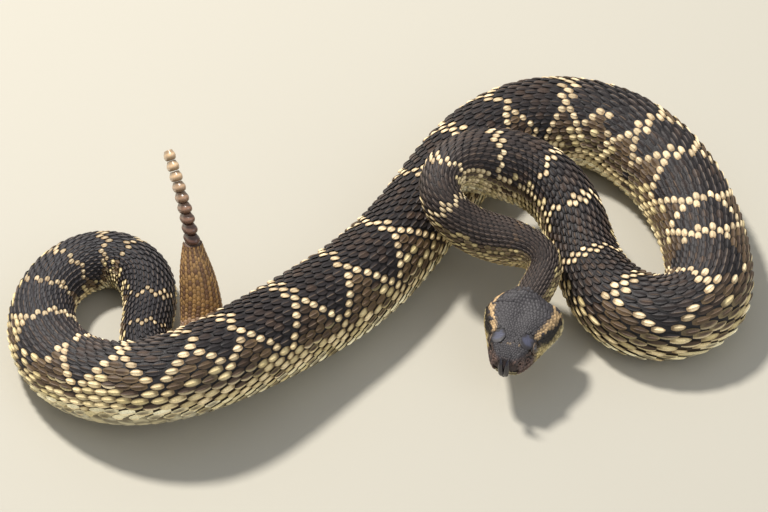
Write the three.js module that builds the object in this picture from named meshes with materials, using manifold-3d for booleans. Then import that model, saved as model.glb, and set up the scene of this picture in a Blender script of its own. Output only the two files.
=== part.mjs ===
// A still, life-size model of a Southern Pacific rattlesnake, as a museum shows one.
// The body lies in open loops on the floor, the neck arches over its own back,
// the head rests low at the front, and the tail stands up with its rattle raised.
// Millimetres, +Z up, +X to the viewer's right; the origin is under the middle of the whole snake.

import * as THREE from 'three';
import { mergeVertices } from 'three/addons/utils/BufferGeometryUtils.js';
import Module from 'manifold-3d';

const wasm = await Module();
wasm.setup();

// Sizes of the whole snake
const gap = 0.3;             // between pieces that meet
const floorLevel = 0;
const bodySides = 20;
const ringStep = 8;          // along the body, in straight stretches
const tightRingStep = 4;     // in the two tight turns of the neck and the turn of the tail

// Line of the backbone from the nape to the tip of the tail: x, y and height above the floor.
// A smooth curve is drawn towards these posts, and passes just inside each bend.
const posts = {
  nape: [[63.4, -39.5, 26.2], [67.8, -32.7, 28.6]],
  neckTurn: [[71.1, -25.9, 31.1], [69.8, -19.7, 33.1], [63.7, -14.5, 34.1]],
  neckCrossing: [[53.8, -10.1, 33.6], [42.4, -6.8, 34.8], [32.5, -3.6, 39.6]],
  neckLoop: [[26.1, 1.8, 45.2], [24.6, 10.7, 48.2], [28.9, 21.0, 48.7], [39.4, 29.4, 45.9]],
  shoulder: [[53.2, 34.0, 39.9], [67.3, 32.6, 34.8], [78.5, 24.6, 30.8], [85.5, 12.1, 25.0]],
  rightTurn: [
    [89.5, -3.0, 18.6], [93.3, -15.0, 16.6], [99.5, -28.4, 16.8], [109.9, -39.6, 17.0],
    [125.9, -42.6, 17.1], [139.9, -34.0, 17.1], [144.5, -18.0, 16.9],
  ],
  rightSide: [[143.9, 2.0, 16.9], [140.4, 25.6, 17.1], [130.1, 53.8, 17.9]],
  backTurn: [[111.6, 77.9, 18.3], [83.3, 90.1, 18.2], [54.5, 83.3, 17.6]],
  crossing: [[32.1, 56.3, 16.9], [14.4, 18.0, 16.6], [-8.2, -18.1, 17.7]],
  front: [[-37.2, -46.8, 20.3], [-62.8, -73.2, 27.5], [-85.6, -90.0, 30.5], [-110.4, -90.1, 25.0]],
  leftTurn: [[-134.7, -74.8, 16.6], [-149.7, -48.0, 13.3], [-149.1, -19.8, 11.9]],
  leftLoop: [[-136.1, -1.2, 11.4], [-118.3, 3.4, 11.4], [-104.0, -8.1, 10.8], [-101.4, -27.6, 10.1]],
  tailTurn: [
    [-104.2, -43.7, 9.4], [-103.2, -54.7, 9.0], [-96.4, -62.3, 8.8], [-86.4, -62.1, 8.8],
    [-79.8, -55.1, 9.0], [-78.0, -46.3, 11.3],
  ],
  tail: [
    [-78.6, -38.5, 17.1], [-79.5, -33.7, 26.5], [-80.9, -29.7, 35.3], [-81.9, -25.9, 41.6],
    [-82.2, -24.2, 46.0],
  ],
};

// Girth of the body: distance from the nape, half width, height as a share of the width.
const girth = [
  [0, 7.6, 1.0], [20, 7.4, 1.12], [42, 9.4, 1.18], [80, 9.1, 1.1], [100, 11.7, 1.13],
  [125, 14.4, 1.13], [180, 14.7, 0.97], [220, 18.6, 0.93], [245, 19.2, 0.93], [290, 18.9, 0.93],
  [370, 20.7, 0.93], [490, 19.3, 0.91], [580, 21.0, 0.93], [680, 18.2, 0.93], [718, 16.9, 0.93],
  [762, 13.5, 0.93], [796, 13.1, 0.94], [850, 11.0, 0.93], [871, 10.0, 0.93],
  [891, 9.7, 0.95], [916, 9.0, 1.0], [932, 7.3, 1.05], [946, 4.0, 1.3],
];

// Where the body is parted, as distances from the nape. Each length is one piece.
const lengths = [
  ['neck', 34], ['neck_crossing', 66], ['neck_loop', 112], ['shoulder', 160],
  ['body_1', 205], ['body_2', 250], ['body_3', 305], ['body_4', 355], ['body_5', 405],
  ['body_6', 450], ['body_7', 505], ['body_8', 560], ['body_9', 620], ['body_10', 680],
  ['body_11', 725], ['body_12', 770], ['body_13', 808], ['body_14', 850],
  ['tail_turn', 897], ['tail', Infinity],
];
const tightStretches = [[0, 120], [845, 900]];

// Head, measured back from the tip of the snout: distance, half width, crown above the
// line of the mouth, chin below it, and squareness of the section.
const snoutTip = new THREE.Vector3(52.2, -78.9, 23.0);
const headTurn = THREE.MathUtils.degToRad(16.5);
const straightHead = 31;
const headStations = [
  [0.0, 3.6, 3.6, 1.2, 2.4], [0.8, 5.2, 5.4, 2.4, 2.6], [2.6, 6.7, 6.6, 3.4, 2.8],
  [5.5, 8.3, 7.4, 4.1, 2.9], [9.0, 9.7, 8.3, 4.6, 2.8], [13.0, 11.2, 9.1, 5.0, 2.7],
  [17.5, 12.9, 9.5, 5.4, 2.6], [22.5, 14.9, 9.7, 5.9, 2.5], [27.0, 16.4, 9.7, 6.2, 2.4],
  [31.0, 17.1, 9.7, 6.5, 2.3], [34.5, 16.3, 9.7, 6.5, 2.2], [37.2, 13.8, 9.6, 6.0, 2.1],
  [39.6, 10.7, 9.2, 5.2, 2.0],
];
const headSides = 28;
const napeStep = 2.2;        // from the last section of the head to the first ring of the neck
const napeRise = 2.2;        // how far the middle of the nape lies above the line of the mouth
const napePull = 5;          // how far before the neck the head's line starts to bend
const mouthLine = [[-3, 0.2], [0, 0.2], [5, -0.5], [11, -0.9], [17, -0.5], [23, 0.7], [28.5, 2.2]];
const jawHinge = [31.5, -9];
const eye = { back: 11.6, out: 8.9, up: 4.9, radius: 2.4 };
const brow = { back: 12.0, out: 6.4, up: 8.1, length: 4.6, width: 3.0, thickness: 0.8 };
const nostril = { back: 2.0, out: 5.6, up: 3.9, radius: 0.75 };
const heatPit = { back: 5.9, out: 8.4, up: 2.9, radius: 0.95 };
const tongueGrooveRadius = 1.75;

// Lips: a low rounded ridge above and below the line of the mouth
const lipReach = [1.4, 5, 9, 13, 17.5, 22.5, 27];
const lipFromMouth = 1.05;
const lipRadius = 0.85;
const lipSunk = 0.35;
const lipSides = 8;
const lipSteps = 14;

// Tongue: a flat stem that leaves the mouth and two slender tines that curl up before the snout.
const tongueStem = {
  path: [[3.4, 0, -0.35], [0.4, 0, -0.4], [-1.6, 0, -0.4], [-2.9, 0, 0.5]],
  radii: [1.15, 1.15, 1.25, 1.3],
};
const tine = {
  path: [[-2.2, 0.5, 0.0], [-3.3, 0.95, 1.6], [-3.6, 1.25, 4.3], [-3.2, 1.35, 7.1], [-2.2, 1.6, 9.6]],
  radii: [1.05, 1.1, 1.0, 0.75, 0.35],
};
const tongueFlatness = 0.72;

// Rattle: nine horny segments, each two-lobed, the oldest and smallest at the tip.
const rattleSegments = 9;
const rattleFoot = new THREE.Vector3(-82.2, -24.1, 46.4);
const rattleBend = new THREE.Vector3(-84.8, -18.7, 63.5);
const rattleTip = new THREE.Vector3(-92.4, -1.9, 80.0);
const rattleHalfWidth = [3.5, 2.6];    // at the foot and at the tip
const rattleHalfDepth = [5.6, 4.2];
const rattleSides = 12;
const segmentProfile = [
  [0, 0.74], [0.1, 0.9], [0.32, 1.0], [0.52, 0.93], [0.64, 0.86], [0.8, 0.9], [1, 0.72],
];
const lobeGroove = 0.2;

// Finishes
function finish(color, roughness) {
  return new THREE.MeshStandardMaterial({ color, roughness, metalness: 0 });
}
const scaleFinish = () => finish(0x3a332c, 0.55);
const headFinish = () => finish(0x3d3a3a, 0.6);
const jawFinish = () => finish(0x8a7a55, 0.6);
const eyeFinish = () => finish(0x1b140c, 0.12);
const tongueFinish = () => finish(0x1c1424, 0.2);
const tailFinish = () => finish(0x8a5a24, 0.5);
const rattleFinish = () => finish(0x7a5138, 0.32);

const snake = new THREE.Group();
const up = new THREE.Vector3(0, 0, 1);

// The backbone as a uniform cubic B-spline whose ends reach the first and last posts.
class Backbone extends THREE.Curve {
  constructor(rows) {
    super();
    const inner = rows.map((row) => new THREE.Vector3(...row));
    const before = inner[0].clone().multiplyScalar(2).sub(inner[1]);
    const last = inner.length - 1;
    const after = inner[last].clone().multiplyScalar(2).sub(inner[last - 1]);
    this.pull = [before, ...inner, after];
    this.arcLengthDivisions = 3000;
  }

  getPoint(t, target = new THREE.Vector3()) {
    const spans = this.pull.length - 3;
    const span = Math.min(Math.floor(t * spans), spans - 1);
    const f = t * spans - span;
    const weights = [
      (1 - f) ** 3,
      3 * f ** 3 - 6 * f ** 2 + 4,
      -3 * f ** 3 + 3 * f ** 2 + 3 * f + 1,
      f ** 3,
    ];
    target.set(0, 0, 0);
    weights.forEach((weight, k) => target.addScaledVector(this.pull[span + k], weight / 6));
    return target;
  }
}

const backbone = new Backbone(Object.values(posts).flat());
const backboneLength = backbone.getLength();

// A smooth curve through the rows of a table, read at one distance.
function readTable(rows, distance, column) {
  const last = rows.length - 1;
  const d = THREE.MathUtils.clamp(distance, rows[0][0], rows[last][0]);
  const k = Math.min(rows.findLastIndex((row) => row[0] <= d), last - 1);
  const slope = (i) => {
    const a = rows[Math.max(i - 1, 0)];
    const b = rows[Math.min(i + 1, last)];
    return (b[column] - a[column]) / (b[0] - a[0]);
  };
  const span = rows[k + 1][0] - rows[k][0];
  const f = (d - rows[k][0]) / span;
  const rise = rows[k + 1][column] - rows[k][column];
  const start = slope(k) * span;
  const end = slope(k + 1) * span;
  const square = 3 * rise - 2 * start - end;
  const cube = start + end - 2 * rise;
  return rows[k][column] + start * f + square * f ** 2 + cube * f ** 3;
}

// One ring of points across a line: sideways by the half width, up and down by two heights.
function ring(centre, along, sides, halfWidth, above, below, squareness = 2) {
  const side = new THREE.Vector3().crossVectors(along, up).normalize();
  const back = new THREE.Vector3().crossVectors(side, along).normalize();
  const points = [];
  for (let k = 0; k < sides; k += 1) {
    const angle = (2 * Math.PI * k) / sides;
    const across = Math.sign(Math.sin(angle)) * Math.abs(Math.sin(angle)) ** (2 / squareness);
    const height = Math.sign(Math.cos(angle)) * Math.abs(Math.cos(angle)) ** (2 / squareness);
    const point = centre.clone()
      .addScaledVector(side, halfWidth * across)
      .addScaledVector(back, (height > 0 ? above : below) * height);
    point.z = Math.max(point.z, floorLevel);
    points.push(point);
  }
  return points;
}

// A closed skin over a row of rings, with a flat fan over each end.
function loft(rings) {
  const sides = rings[0].length;
  const middle = (points) => points.reduce((sum, p) => sum.add(p), new THREE.Vector3()).divideScalar(sides);
  const vertices = [...rings.flat(), middle(rings[0]), middle(rings[rings.length - 1])];
  const front = vertices.length - 2;
  const rear = vertices.length - 1;
  const index = [];
  for (let k = 0; k < sides; k += 1) {
    const next = (k + 1) % sides;
    for (let r = 0; r < rings.length - 1; r += 1) {
      const a = r * sides;
      const b = a + sides;
      index.push(a + k, b + next, b + k, a + k, a + next, b + next);
    }
    const end = (rings.length - 1) * sides;
    index.push(front, next, k, rear, end + k, end + next);
  }
  const geometry = new THREE.BufferGeometry();
  const numbers = vertices.flatMap((p) => p.toArray());
  geometry.setAttribute('position', new THREE.Float32BufferAttribute(numbers, 3));
  geometry.setIndex(index);
  return geometry;
}

// Solids for joining and cutting
function solid(geometry) {
  const bare = geometry.clone();
  bare.deleteAttribute('normal');
  bare.deleteAttribute('uv');
  const merged = mergeVertices(bare, 1e-5);
  return new wasm.Manifold(new wasm.Mesh({
    numProp: 3,
    vertProperties: new Float32Array(merged.attributes.position.array),
    triVerts: new Uint32Array(merged.index.array),
  }));
}

function geometryOf(body) {
  const largest = body.decompose().reduce((a, b) => (b.volume() > a.volume() ? b : a));
  const mesh = largest.getMesh();
  const geometry = new THREE.BufferGeometry();
  geometry.setAttribute('position', new THREE.BufferAttribute(new Float32Array(mesh.vertProperties), 3));
  geometry.setIndex(new THREE.BufferAttribute(new Uint32Array(mesh.triVerts), 1));
  geometry.computeVertexNormals();
  return geometry;
}

function addPiece(name, geometry, material) {
  if (!geometry.attributes.normal) geometry.computeVertexNormals();
  const mesh = new THREE.Mesh(geometry, material);
  mesh.name = name;
  snake.add(mesh);
  return mesh;
}

// Neck, body and tail
function bodyRing(distance, sides = bodySides) {
  const share = THREE.MathUtils.clamp(distance / backboneLength, 0, 1);
  const halfWidth = readTable(girth, distance, 1);
  const height = halfWidth * readTable(girth, distance, 2);
  return ring(backbone.getPointAt(share), backbone.getTangentAt(share), sides, halfWidth, height, height);
}

function bodyLength(from, to) {
  const tight = tightStretches.some(([start, end]) => from >= start && to <= end + ringStep);
  const steps = Math.ceil((to - from) / (tight ? tightRingStep : ringStep));
  const rings = Array.from({ length: steps + 1 }, (_, k) => bodyRing(from + ((to - from) * k) / steps));
  return loft(rings);
}

function addBody() {
  let from = gap;
  for (const [name, end] of lengths) {
    const to = Math.min(end, backboneLength);
    addPiece(name, bodyLength(from, to), name === 'tail' ? tailFinish() : scaleFinish());
    from = to + gap;
  }
}

// Head: straight to the corner of the jaw, then turning into the nape
const headBack = new THREE.Vector3(Math.sin(headTurn), Math.cos(headTurn), 0);
const headLeft = new THREE.Vector3().crossVectors(headBack, up);
const headEnd = headStations[headStations.length - 1][0] + napeStep;

function inHead(back, left, rise) {
  return snoutTip.clone()
    .addScaledVector(headBack, back)
    .addScaledVector(headLeft, left)
    .addScaledVector(up, rise);
}

function headRings() {
  const neckStart = backbone.getPointAt(0);
  const cheek = inHead(straightHead, 0, 0);
  const nape = neckStart.clone().addScaledVector(backbone.getTangentAt(0), -napePull).setZ(cheek.z);
  const bend = new THREE.QuadraticBezierCurve3(cheek, nape, neckStart.clone().setZ(cheek.z + napeRise));
  const rings = headStations.map(([back, halfWidth, above, below, squareness]) => {
    const share = THREE.MathUtils.clamp((back - straightHead) / (headEnd - straightHead), 0, 1);
    const centre = share > 0 ? bend.getPoint(share) : inHead(back, 0, 0);
    const along = share > 0 ? bend.getTangent(share).setZ(0).normalize() : headBack;
    return ring(centre, along, headSides, halfWidth, above, below, squareness);
  });
  rings.push(bodyRing(0, headSides));
  return rings;
}

// The volume under the line of the mouth, forward of the hinge of the jaw
function jawRegion(clearance) {
  const outline = new THREE.Shape(mouthLine.map(([back, rise]) => new THREE.Vector2(back, rise - clearance)));
  outline.lineTo(jawHinge[0] - clearance, jawHinge[1]);
  outline.lineTo(mouthLine[0][0], jawHinge[1]);
  outline.closePath();
  const reach = 25;
  const slab = new THREE.ExtrudeGeometry(outline, { depth: 2 * reach, bevelEnabled: false });
  slab.translate(0, 0, -reach);
  const placed = new THREE.Matrix4().makeBasis(headBack, up, headLeft).setPosition(snoutTip);
  return solid(slab.applyMatrix4(placed));
}

function ball(back, left, rise, radius, stretch = [1, 1, 1]) {
  const geometry = new THREE.SphereGeometry(radius, 14, 10);
  geometry.scale(...stretch);
  geometry.rotateZ(-headTurn);
  geometry.translate(...inHead(back, left, rise).toArray());
  return geometry;
}

// A bent rod whose radius changes along it, used for the tongue, its groove and the lips
function rod(path, radii, flatness, sides = 8, steps = 10) {
  const curve = new THREE.CatmullRomCurve3(path.map((row) => inHead(...row)));
  const spans = radii.length - 1;
  const rings = [];
  for (let k = 0; k <= steps; k += 1) {
    const share = k / steps;
    const span = Math.min(Math.floor(share * spans), spans - 1);
    const r = THREE.MathUtils.lerp(radii[span], radii[span + 1], share * spans - span);
    const along = curve.getTangent(share);
    const back = new THREE.Vector3().crossVectors(headLeft, along).normalize();
    const centre = curve.getPoint(share);
    rings.push(Array.from({ length: sides }, (_, i) => {
      const angle = (2 * Math.PI * i) / sides;
      return centre.clone()
        .addScaledVector(headLeft, r * Math.sin(angle))
        .addScaledVector(back, r * flatness * Math.cos(angle));
    }));
  }
  return loft(rings);
}

// How far out the side of the head lies at one height beside the mouth
function sideAt(back, rise) {
  const halfWidth = readTable(headStations, back, 1);
  const tall = readTable(headStations, back, rise > 0 ? 2 : 3);
  const squareness = readTable(headStations, back, 4);
  return halfWidth * (1 - (Math.abs(rise) / tall) ** squareness) ** (1 / squareness);
}

function lip(side, offset) {
  const path = lipReach.map((back) => {
    const rise = readTable(mouthLine, back, 1) + offset;
    return [back, side * (sideAt(back, rise) - lipSunk), rise];
  });
  return solid(rod(path, path.map(() => lipRadius), 1, lipSides, lipSteps));
}

function addHead() {
  let whole = solid(loft(headRings()));
  for (const side of [-1, 1]) {
    whole = whole.add(lip(side, lipFromMouth)).add(lip(side, -lipFromMouth));
  }
  let head = whole.subtract(jawRegion(0));
  const jaw = whole.intersect(jawRegion(gap));
  const groove = solid(rod(tongueStem.path, tongueStem.radii.map(() => tongueGrooveRadius), 1));
  for (const side of [-1, 1]) {
    const plate = ball(brow.back, side * brow.out, brow.up, 1, [brow.width, brow.length, brow.thickness]);
    head = head.add(solid(plate));
  }
  for (const side of [-1, 1]) {
    head = head.subtract(solid(ball(eye.back, side * eye.out, eye.up, eye.radius + gap)));
    head = head.subtract(solid(ball(nostril.back, side * nostril.out, nostril.up, nostril.radius)));
    head = head.subtract(solid(ball(heatPit.back, side * heatPit.out, heatPit.up, heatPit.radius)));
    const eyeName = side > 0 ? 'eye_left' : 'eye_right';
    addPiece(eyeName, geometryOf(solid(ball(eye.back, side * eye.out, eye.up, eye.radius))), eyeFinish());
  }
  addPiece('head', geometryOf(head.subtract(groove)), headFinish());
  addPiece('lower_jaw', geometryOf(jaw.subtract(groove)), jawFinish());
}

function addTongue() {
  let tongue = solid(rod(tongueStem.path, tongueStem.radii, tongueFlatness));
  for (const side of [-1, 1]) {
    const path = tine.path.map(([back, left, rise]) => [back, side * left, rise]);
    tongue = tongue.add(solid(rod(path, tine.radii, 1)));
  }
  addPiece('tongue', geometryOf(tongue), tongueFinish());
}

// Rattle
function rattleRing(line, share, scale) {
  const centre = line.getPointAt(share);
  const along = line.getTangentAt(share);
  const side = new THREE.Vector3().crossVectors(along, up).normalize();
  const back = new THREE.Vector3().crossVectors(side, along).normalize();
  const halfWidth = THREE.MathUtils.lerp(...rattleHalfWidth, share) * scale;
  const halfDepth = THREE.MathUtils.lerp(...rattleHalfDepth, share) * scale;
  return Array.from({ length: rattleSides }, (_, k) => {
    const angle = (2 * Math.PI * k) / rattleSides;
    const dent = 1 - lobeGroove * Math.abs(Math.sin(angle)) ** 6;
    return centre.clone()
      .addScaledVector(side, halfWidth * Math.sin(angle) * dent)
      .addScaledVector(back, halfDepth * Math.cos(angle));
  });
}

function addRattle() {
  const line = new THREE.QuadraticBezierCurve3(rattleFoot, rattleBend, rattleTip);
  const pitch = line.getLength() / rattleSegments;
  for (let k = 0; k < rattleSegments; k += 1) {
    const from = k * pitch;
    const size = pitch - gap;
    const rings = segmentProfile.map(([share, scale]) => (
      rattleRing(line, (from + share * size) / line.getLength(), scale)
    ));
    addPiece(`rattle_segment_${k + 1}`, loft(rings), rattleFinish());
  }
}

addHead();
addTongue();
addBody();
addRattle();

export default snake;
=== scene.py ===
# A life-size Southern Pacific rattlesnake for a museum case: skin, scales, head, tongue and rattle.
# Lengths below are in millimetres and angles in degrees; meshes are turned into metres at the end.
# A place on the snake is given by its distance from the nape (the head lies at distances below 0)
# and by its angle round the body, 0 on top and 180 under the belly, positive towards the snake's left.

import math

import bmesh
import bpy
import numpy as np
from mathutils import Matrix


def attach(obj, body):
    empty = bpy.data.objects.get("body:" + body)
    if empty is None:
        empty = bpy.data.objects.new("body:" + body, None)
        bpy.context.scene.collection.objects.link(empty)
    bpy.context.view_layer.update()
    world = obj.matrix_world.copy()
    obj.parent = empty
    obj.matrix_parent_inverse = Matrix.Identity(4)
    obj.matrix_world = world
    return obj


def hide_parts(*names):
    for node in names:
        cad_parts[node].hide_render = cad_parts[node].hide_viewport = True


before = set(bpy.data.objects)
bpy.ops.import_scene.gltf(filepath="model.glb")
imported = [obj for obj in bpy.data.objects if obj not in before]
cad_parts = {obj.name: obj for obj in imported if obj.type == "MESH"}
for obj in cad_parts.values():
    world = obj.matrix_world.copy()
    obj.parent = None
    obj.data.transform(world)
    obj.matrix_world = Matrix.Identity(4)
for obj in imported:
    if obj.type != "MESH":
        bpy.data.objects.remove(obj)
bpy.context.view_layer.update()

MM = 0.001

# Line of the backbone from the nape to the tip of the tail, as the solids have it
POSTS = [
    # nape and the turn of the neck
    [63.4, -39.5, 26.2], [67.8, -32.7, 28.6],
    [71.1, -25.9, 31.1], [69.8, -19.7, 33.1], [63.7, -14.5, 34.1],
    # the neck passes over the body and loops back
    [53.8, -10.1, 33.6], [42.4, -6.8, 34.8], [32.5, -3.6, 39.6],
    [26.1, 1.8, 45.2], [24.6, 10.7, 48.2], [28.9, 21.0, 48.7], [39.4, 29.4, 45.9],
    # shoulder
    [53.2, 34.0, 39.9], [67.3, 32.6, 34.8], [78.5, 24.6, 30.8], [85.5, 12.1, 25.0],
    # right turn
    [89.5, -3.0, 18.6], [93.3, -15.0, 16.6], [99.5, -28.4, 16.8], [109.9, -39.6, 17.0],
    [125.9, -42.6, 17.1], [139.9, -34.0, 17.1], [144.5, -18.0, 16.9],
    # right side and the turn at the back
    [143.9, 2.0, 16.9], [140.4, 25.6, 17.1], [130.1, 53.8, 17.9],
    [111.6, 77.9, 18.3], [83.3, 90.1, 18.2], [54.5, 83.3, 17.6],
    # across the middle to the front
    [32.1, 56.3, 16.9], [14.4, 18.0, 16.6], [-8.2, -18.1, 17.7],
    [-37.2, -46.8, 20.3], [-62.8, -73.2, 27.5], [-85.6, -90.0, 30.5], [-110.4, -90.1, 25.0],
    # left turn and loop
    [-134.7, -74.8, 16.6], [-149.7, -48.0, 13.3], [-149.1, -19.8, 11.9],
    [-136.1, -1.2, 11.4], [-118.3, 3.4, 11.4], [-104.0, -8.1, 10.8], [-101.4, -27.6, 10.1],
    # turn of the tail, then the tail stands up
    [-104.2, -43.7, 9.4], [-103.2, -54.7, 9.0], [-96.4, -62.3, 8.8], [-86.4, -62.1, 8.8],
    [-79.8, -55.1, 9.0], [-78.0, -46.3, 11.3],
    [-78.6, -38.5, 17.1], [-79.5, -33.7, 26.5], [-80.9, -29.7, 35.3], [-81.9, -25.9, 41.6],
    [-82.2, -24.2, 46.0],
]
# Distance from the nape, half width of the body, height as a share of the width
GIRTH = [
    [0, 7.6, 1.0], [20, 7.4, 1.12], [42, 9.4, 1.18], [80, 9.1, 1.1], [100, 11.7, 1.13],
    [125, 14.4, 1.13], [180, 14.7, 0.97], [220, 18.6, 0.93], [245, 19.2, 0.93], [290, 18.9, 0.93],
    [370, 20.7, 0.93], [490, 19.3, 0.91], [580, 21.0, 0.93], [680, 18.2, 0.93], [718, 16.9, 0.93],
    [762, 13.5, 0.93], [796, 13.1, 0.94], [850, 11.0, 0.93], [871, 10.0, 0.93],
    [891, 9.7, 0.95], [916, 9.0, 1.0], [932, 7.3, 1.05], [946, 4.0, 1.3],
]

# Head, measured back from the snout: distance, half width, crown above the mouth, chin below
# it, and squareness of the section
SNOUT_TIP = np.array([52.2, -78.9, 23.0])
HEAD_TURN = math.radians(16.5)
STRAIGHT_HEAD = 31.0
HEAD_STATIONS = [
    [0.0, 3.6, 3.6, 1.2, 2.4], [0.8, 5.2, 5.4, 2.4, 2.6], [2.6, 6.7, 6.6, 3.4, 2.8],
    [5.5, 8.3, 7.4, 4.1, 2.9], [9.0, 9.7, 8.3, 4.6, 2.8], [13.0, 11.2, 9.1, 5.0, 2.7],
    [17.5, 12.9, 9.5, 5.4, 2.6], [22.5, 14.9, 9.7, 5.9, 2.5], [27.0, 16.4, 9.7, 6.2, 2.4],
    [31.0, 17.1, 9.7, 6.5, 2.3], [34.5, 16.3, 9.7, 6.5, 2.2], [37.2, 13.8, 9.6, 6.0, 2.1],
    [39.6, 10.7, 9.2, 5.2, 2.0],
]
SNOUT_START = -0.6           # a last small section rounds the snout off
HEAD_LENGTH = 41.8
RELIEF_END = 40.0            # the neck behind this has no relief of its own
NECK_STEPS = (0.0, 3.0, 7.0)    # the head's surface runs on over the neck's sections here
MOUTH_LINE = [[-3, 0.2], [0, 0.2], [5, -0.5], [11, -0.9], [17, -0.5], [23, 0.7], [28.5, 2.2]]
JAW_HINGE = 29.5
EYE = dict(back=11.6, out=8.9, up=4.9, radius=2.4)
BROW = dict(back=12.0, out=6.3, up=7.95, length=4.7, width=3.1, thickness=0.62)
NOSTRIL = dict(back=2.0, out=5.6, up=3.9, radius=0.75)
HEAT_PIT = dict(back=5.9, out=8.4, up=2.9, radius=0.95)

# Where the pale joints of the pattern cross the back: distance from the nape, and how far the
# middle of the back is rolled there
JOINTS = [
    [33, -4], [70, -26], [89.5, -14], [114, 6], [141, -6], [163.5, -6], [189.5, 10], [220, 8],
    [255.5, -12], [283, -8], [308, 4], [334.5, 8], [359.5, -6], [381.5, 10], [404, -4], [432, 8],
    [460.5, 16], [490.5, 26], [531.5, 10], [564.5, 8], [600.5, 10], [631, 2], [654, 14], [678, 26],
    [708, 12], [739.5, 16], [761.5, 2], [782.5, 16], [799.5, -6], [813, -24], [840, -4], [858.5, -8],
]
BROKEN_JOINT = 381.5         # this one is only a few pale scales
MEET_ROWS = 4.3              # on the front turn the arms of two joints meet this many rows down
SIDE_LINE_ROW = 7            # row of the pale line along each side of neck and shoulder
NECK_END = 66                # before this half of the pale scales fade, and the sides are brown
NAPE_END = 48                # before this all of them fade

# Where markings come in along the body: the distance at which one is absent, then where it is full
LADDER = (225, 195)          # neck and shoulder: long bars between the two side lines
FRONT_TURN_START = (170, 190)
FRONT_TURN_END = (320, 290)
LEFT_COIL = (690, 760)       # longer bars again, on greyer blotches
COIL_DULL = (690, 780)       # duller pale scales
NECK_FADE = (150, 60)        # browner back
TAIL_BLEND = (890, 905)      # golden skin and belly
TAIL_PINK_END = (922, 900)
TAIL_DARK_END = (910, 896)

# The solids along the body, in order, and the distance from the nape at which each ends
BODY_NODES = ["neck", "neck_crossing", "neck_loop", "shoulder"]
BODY_NODES += [f"body_{k}" for k in range(1, 15)] + ["tail_turn"]
NODE_ENDS = [34, 66, 112, 160, 205, 250, 305, 355, 405, 450, 505, 560, 620, 680, 725, 770, 808, 850, 897]

# Skin and scales of the body
SKIN_DEPTH = 0.45            # the skin lies this far inside the solids
SKIN_SIDES = 96
SKIN_RINGS = dict(snout=10, face=78, body=480)
SNOUT_END = 3                # the snout's closer rings reach this far back
ROWS = 12                    # rows of scales on each side of the middle one
ROW_ANGLE = 10.0
NECK_ROW_ANGLE = 11.3        # the rows reach further round the neck, over narrower plates
BACK_PIECES = 5
PITCH_BASE = 1.0             # step from scale to scale along the body, and its growth with half width
PITCH_BY_WIDTH = 0.215
SCALE_LENGTHS = dict(dark=1.14, pale=0.86)                 # in steps
SCALE_WIDTHS = dict(dark=0.52, pale=0.46, lowest=0.66)     # half widths, in rows
BEND_POWER = -0.3            # takes back part of the stretch of scales on the outside of a bend
TAIL_START = 893.0
TAIL_ROWS = 9
TAIL_ROW_ANGLE = 12.6
TAIL_PITCH = 2.35
TAIL_SCALE = dict(length=1.4, width=0.64, height=0.5)      # in steps, in rows, and as a share
PLATE_LENGTH = 1.3           # belly plates overlap, in steps
BELLY_OVERLAP = 6.0          # how far the belly plates run under the lowest rows

# Outlines of scales from root to tip: places along them and share of the full width there
POINTED = ([0, 0.12, 0.3, 0.5, 0.68, 0.84, 0.94, 1.0], [0.5, 0.78, 0.96, 1.0, 0.9, 0.66, 0.4, 0.14])
ROUNDED = ([0, 0.15, 0.4, 0.65, 0.85, 1.0], [0.6, 0.88, 1.0, 0.96, 0.74, 0.3])
OBLONG = ([0, 0.1, 0.5, 0.9, 1.0], [0.86, 0.97, 1.0, 0.97, 0.86])
KEEL_WIDTH = 0.13            # as a share of half a scale's width
FOOT_PLACE = 0.4             # the hidden point under a scale, as a share of its length from the root
ROOT_SHARE = 0.35            # share of a scale's length that lies before its place in the lattice
SCALE_SHARP = 55             # edges bent more than this, in degrees, look sharp

# Details of the head
SIDES = {"right": -1, "left": 1}
HEAD_SCALE_SIZES = ([0, 8, 20, 31, 42], [0.95, 1.05, 1.3, 1.7, 2.1])    # by distance behind the snout
HEAD_SCALES_START = 1.1
HEAD_SCALE_STEPS = dict(back=1.02, across=0.92)            # in sizes
THROAT_ANGLE = 105           # from here round to the chin, scales are longer and wider
BROW_COVER = 0.92            # share of each brow plate that has no fine scales under it
LIP_SEAMS = [1.0, 2.9, 4.9, 6.9, 8.9, 11.0, 13.1, 15.2, 17.3, 19.4, 21.5, 23.5, 25.4, 27.2, 28.8]
LIP_GAP = 0.08               # half the gap between two lip plates
LIP_PLACES = [1, 6, 16, 28]
UPPER_LIP_HEIGHTS = [1.9, 2.1, 2.0, 1.5]
LOWER_LIP_HEIGHTS = [1.3, 1.6, 1.7, 1.4]
RING_STEPS = 48              # beaded rings round eyes and holes
RING_SIDES = 8
CUP_SIDES = 24
CUP_PROFILE = [(1.0, -0.05), (0.7, -0.315), (0.3, -0.42), (0.3, -0.84), (1.0, -0.7)]

# Tongue, behind the snout, to the left and above the mouth, with the radius at each of these points
TONGUE_STEM = [[4.0, 0, -0.35], [0.4, 0, -0.4], [-1.6, 0, -0.4], [-2.9, 0, 0.5]]
TONGUE_STEM_RADII = [1.15, 1.25, 1.35, 1.3]
TINE = [[-2.2, 0.5, 0.0], [-3.3, 0.95, 1.6], [-3.6, 1.25, 4.3], [-3.2, 1.35, 7.1], [-2.2, 1.6, 9.6]]
TINE_RADII = [1.15, 1.25, 1.15, 0.85, 0.2]

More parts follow.
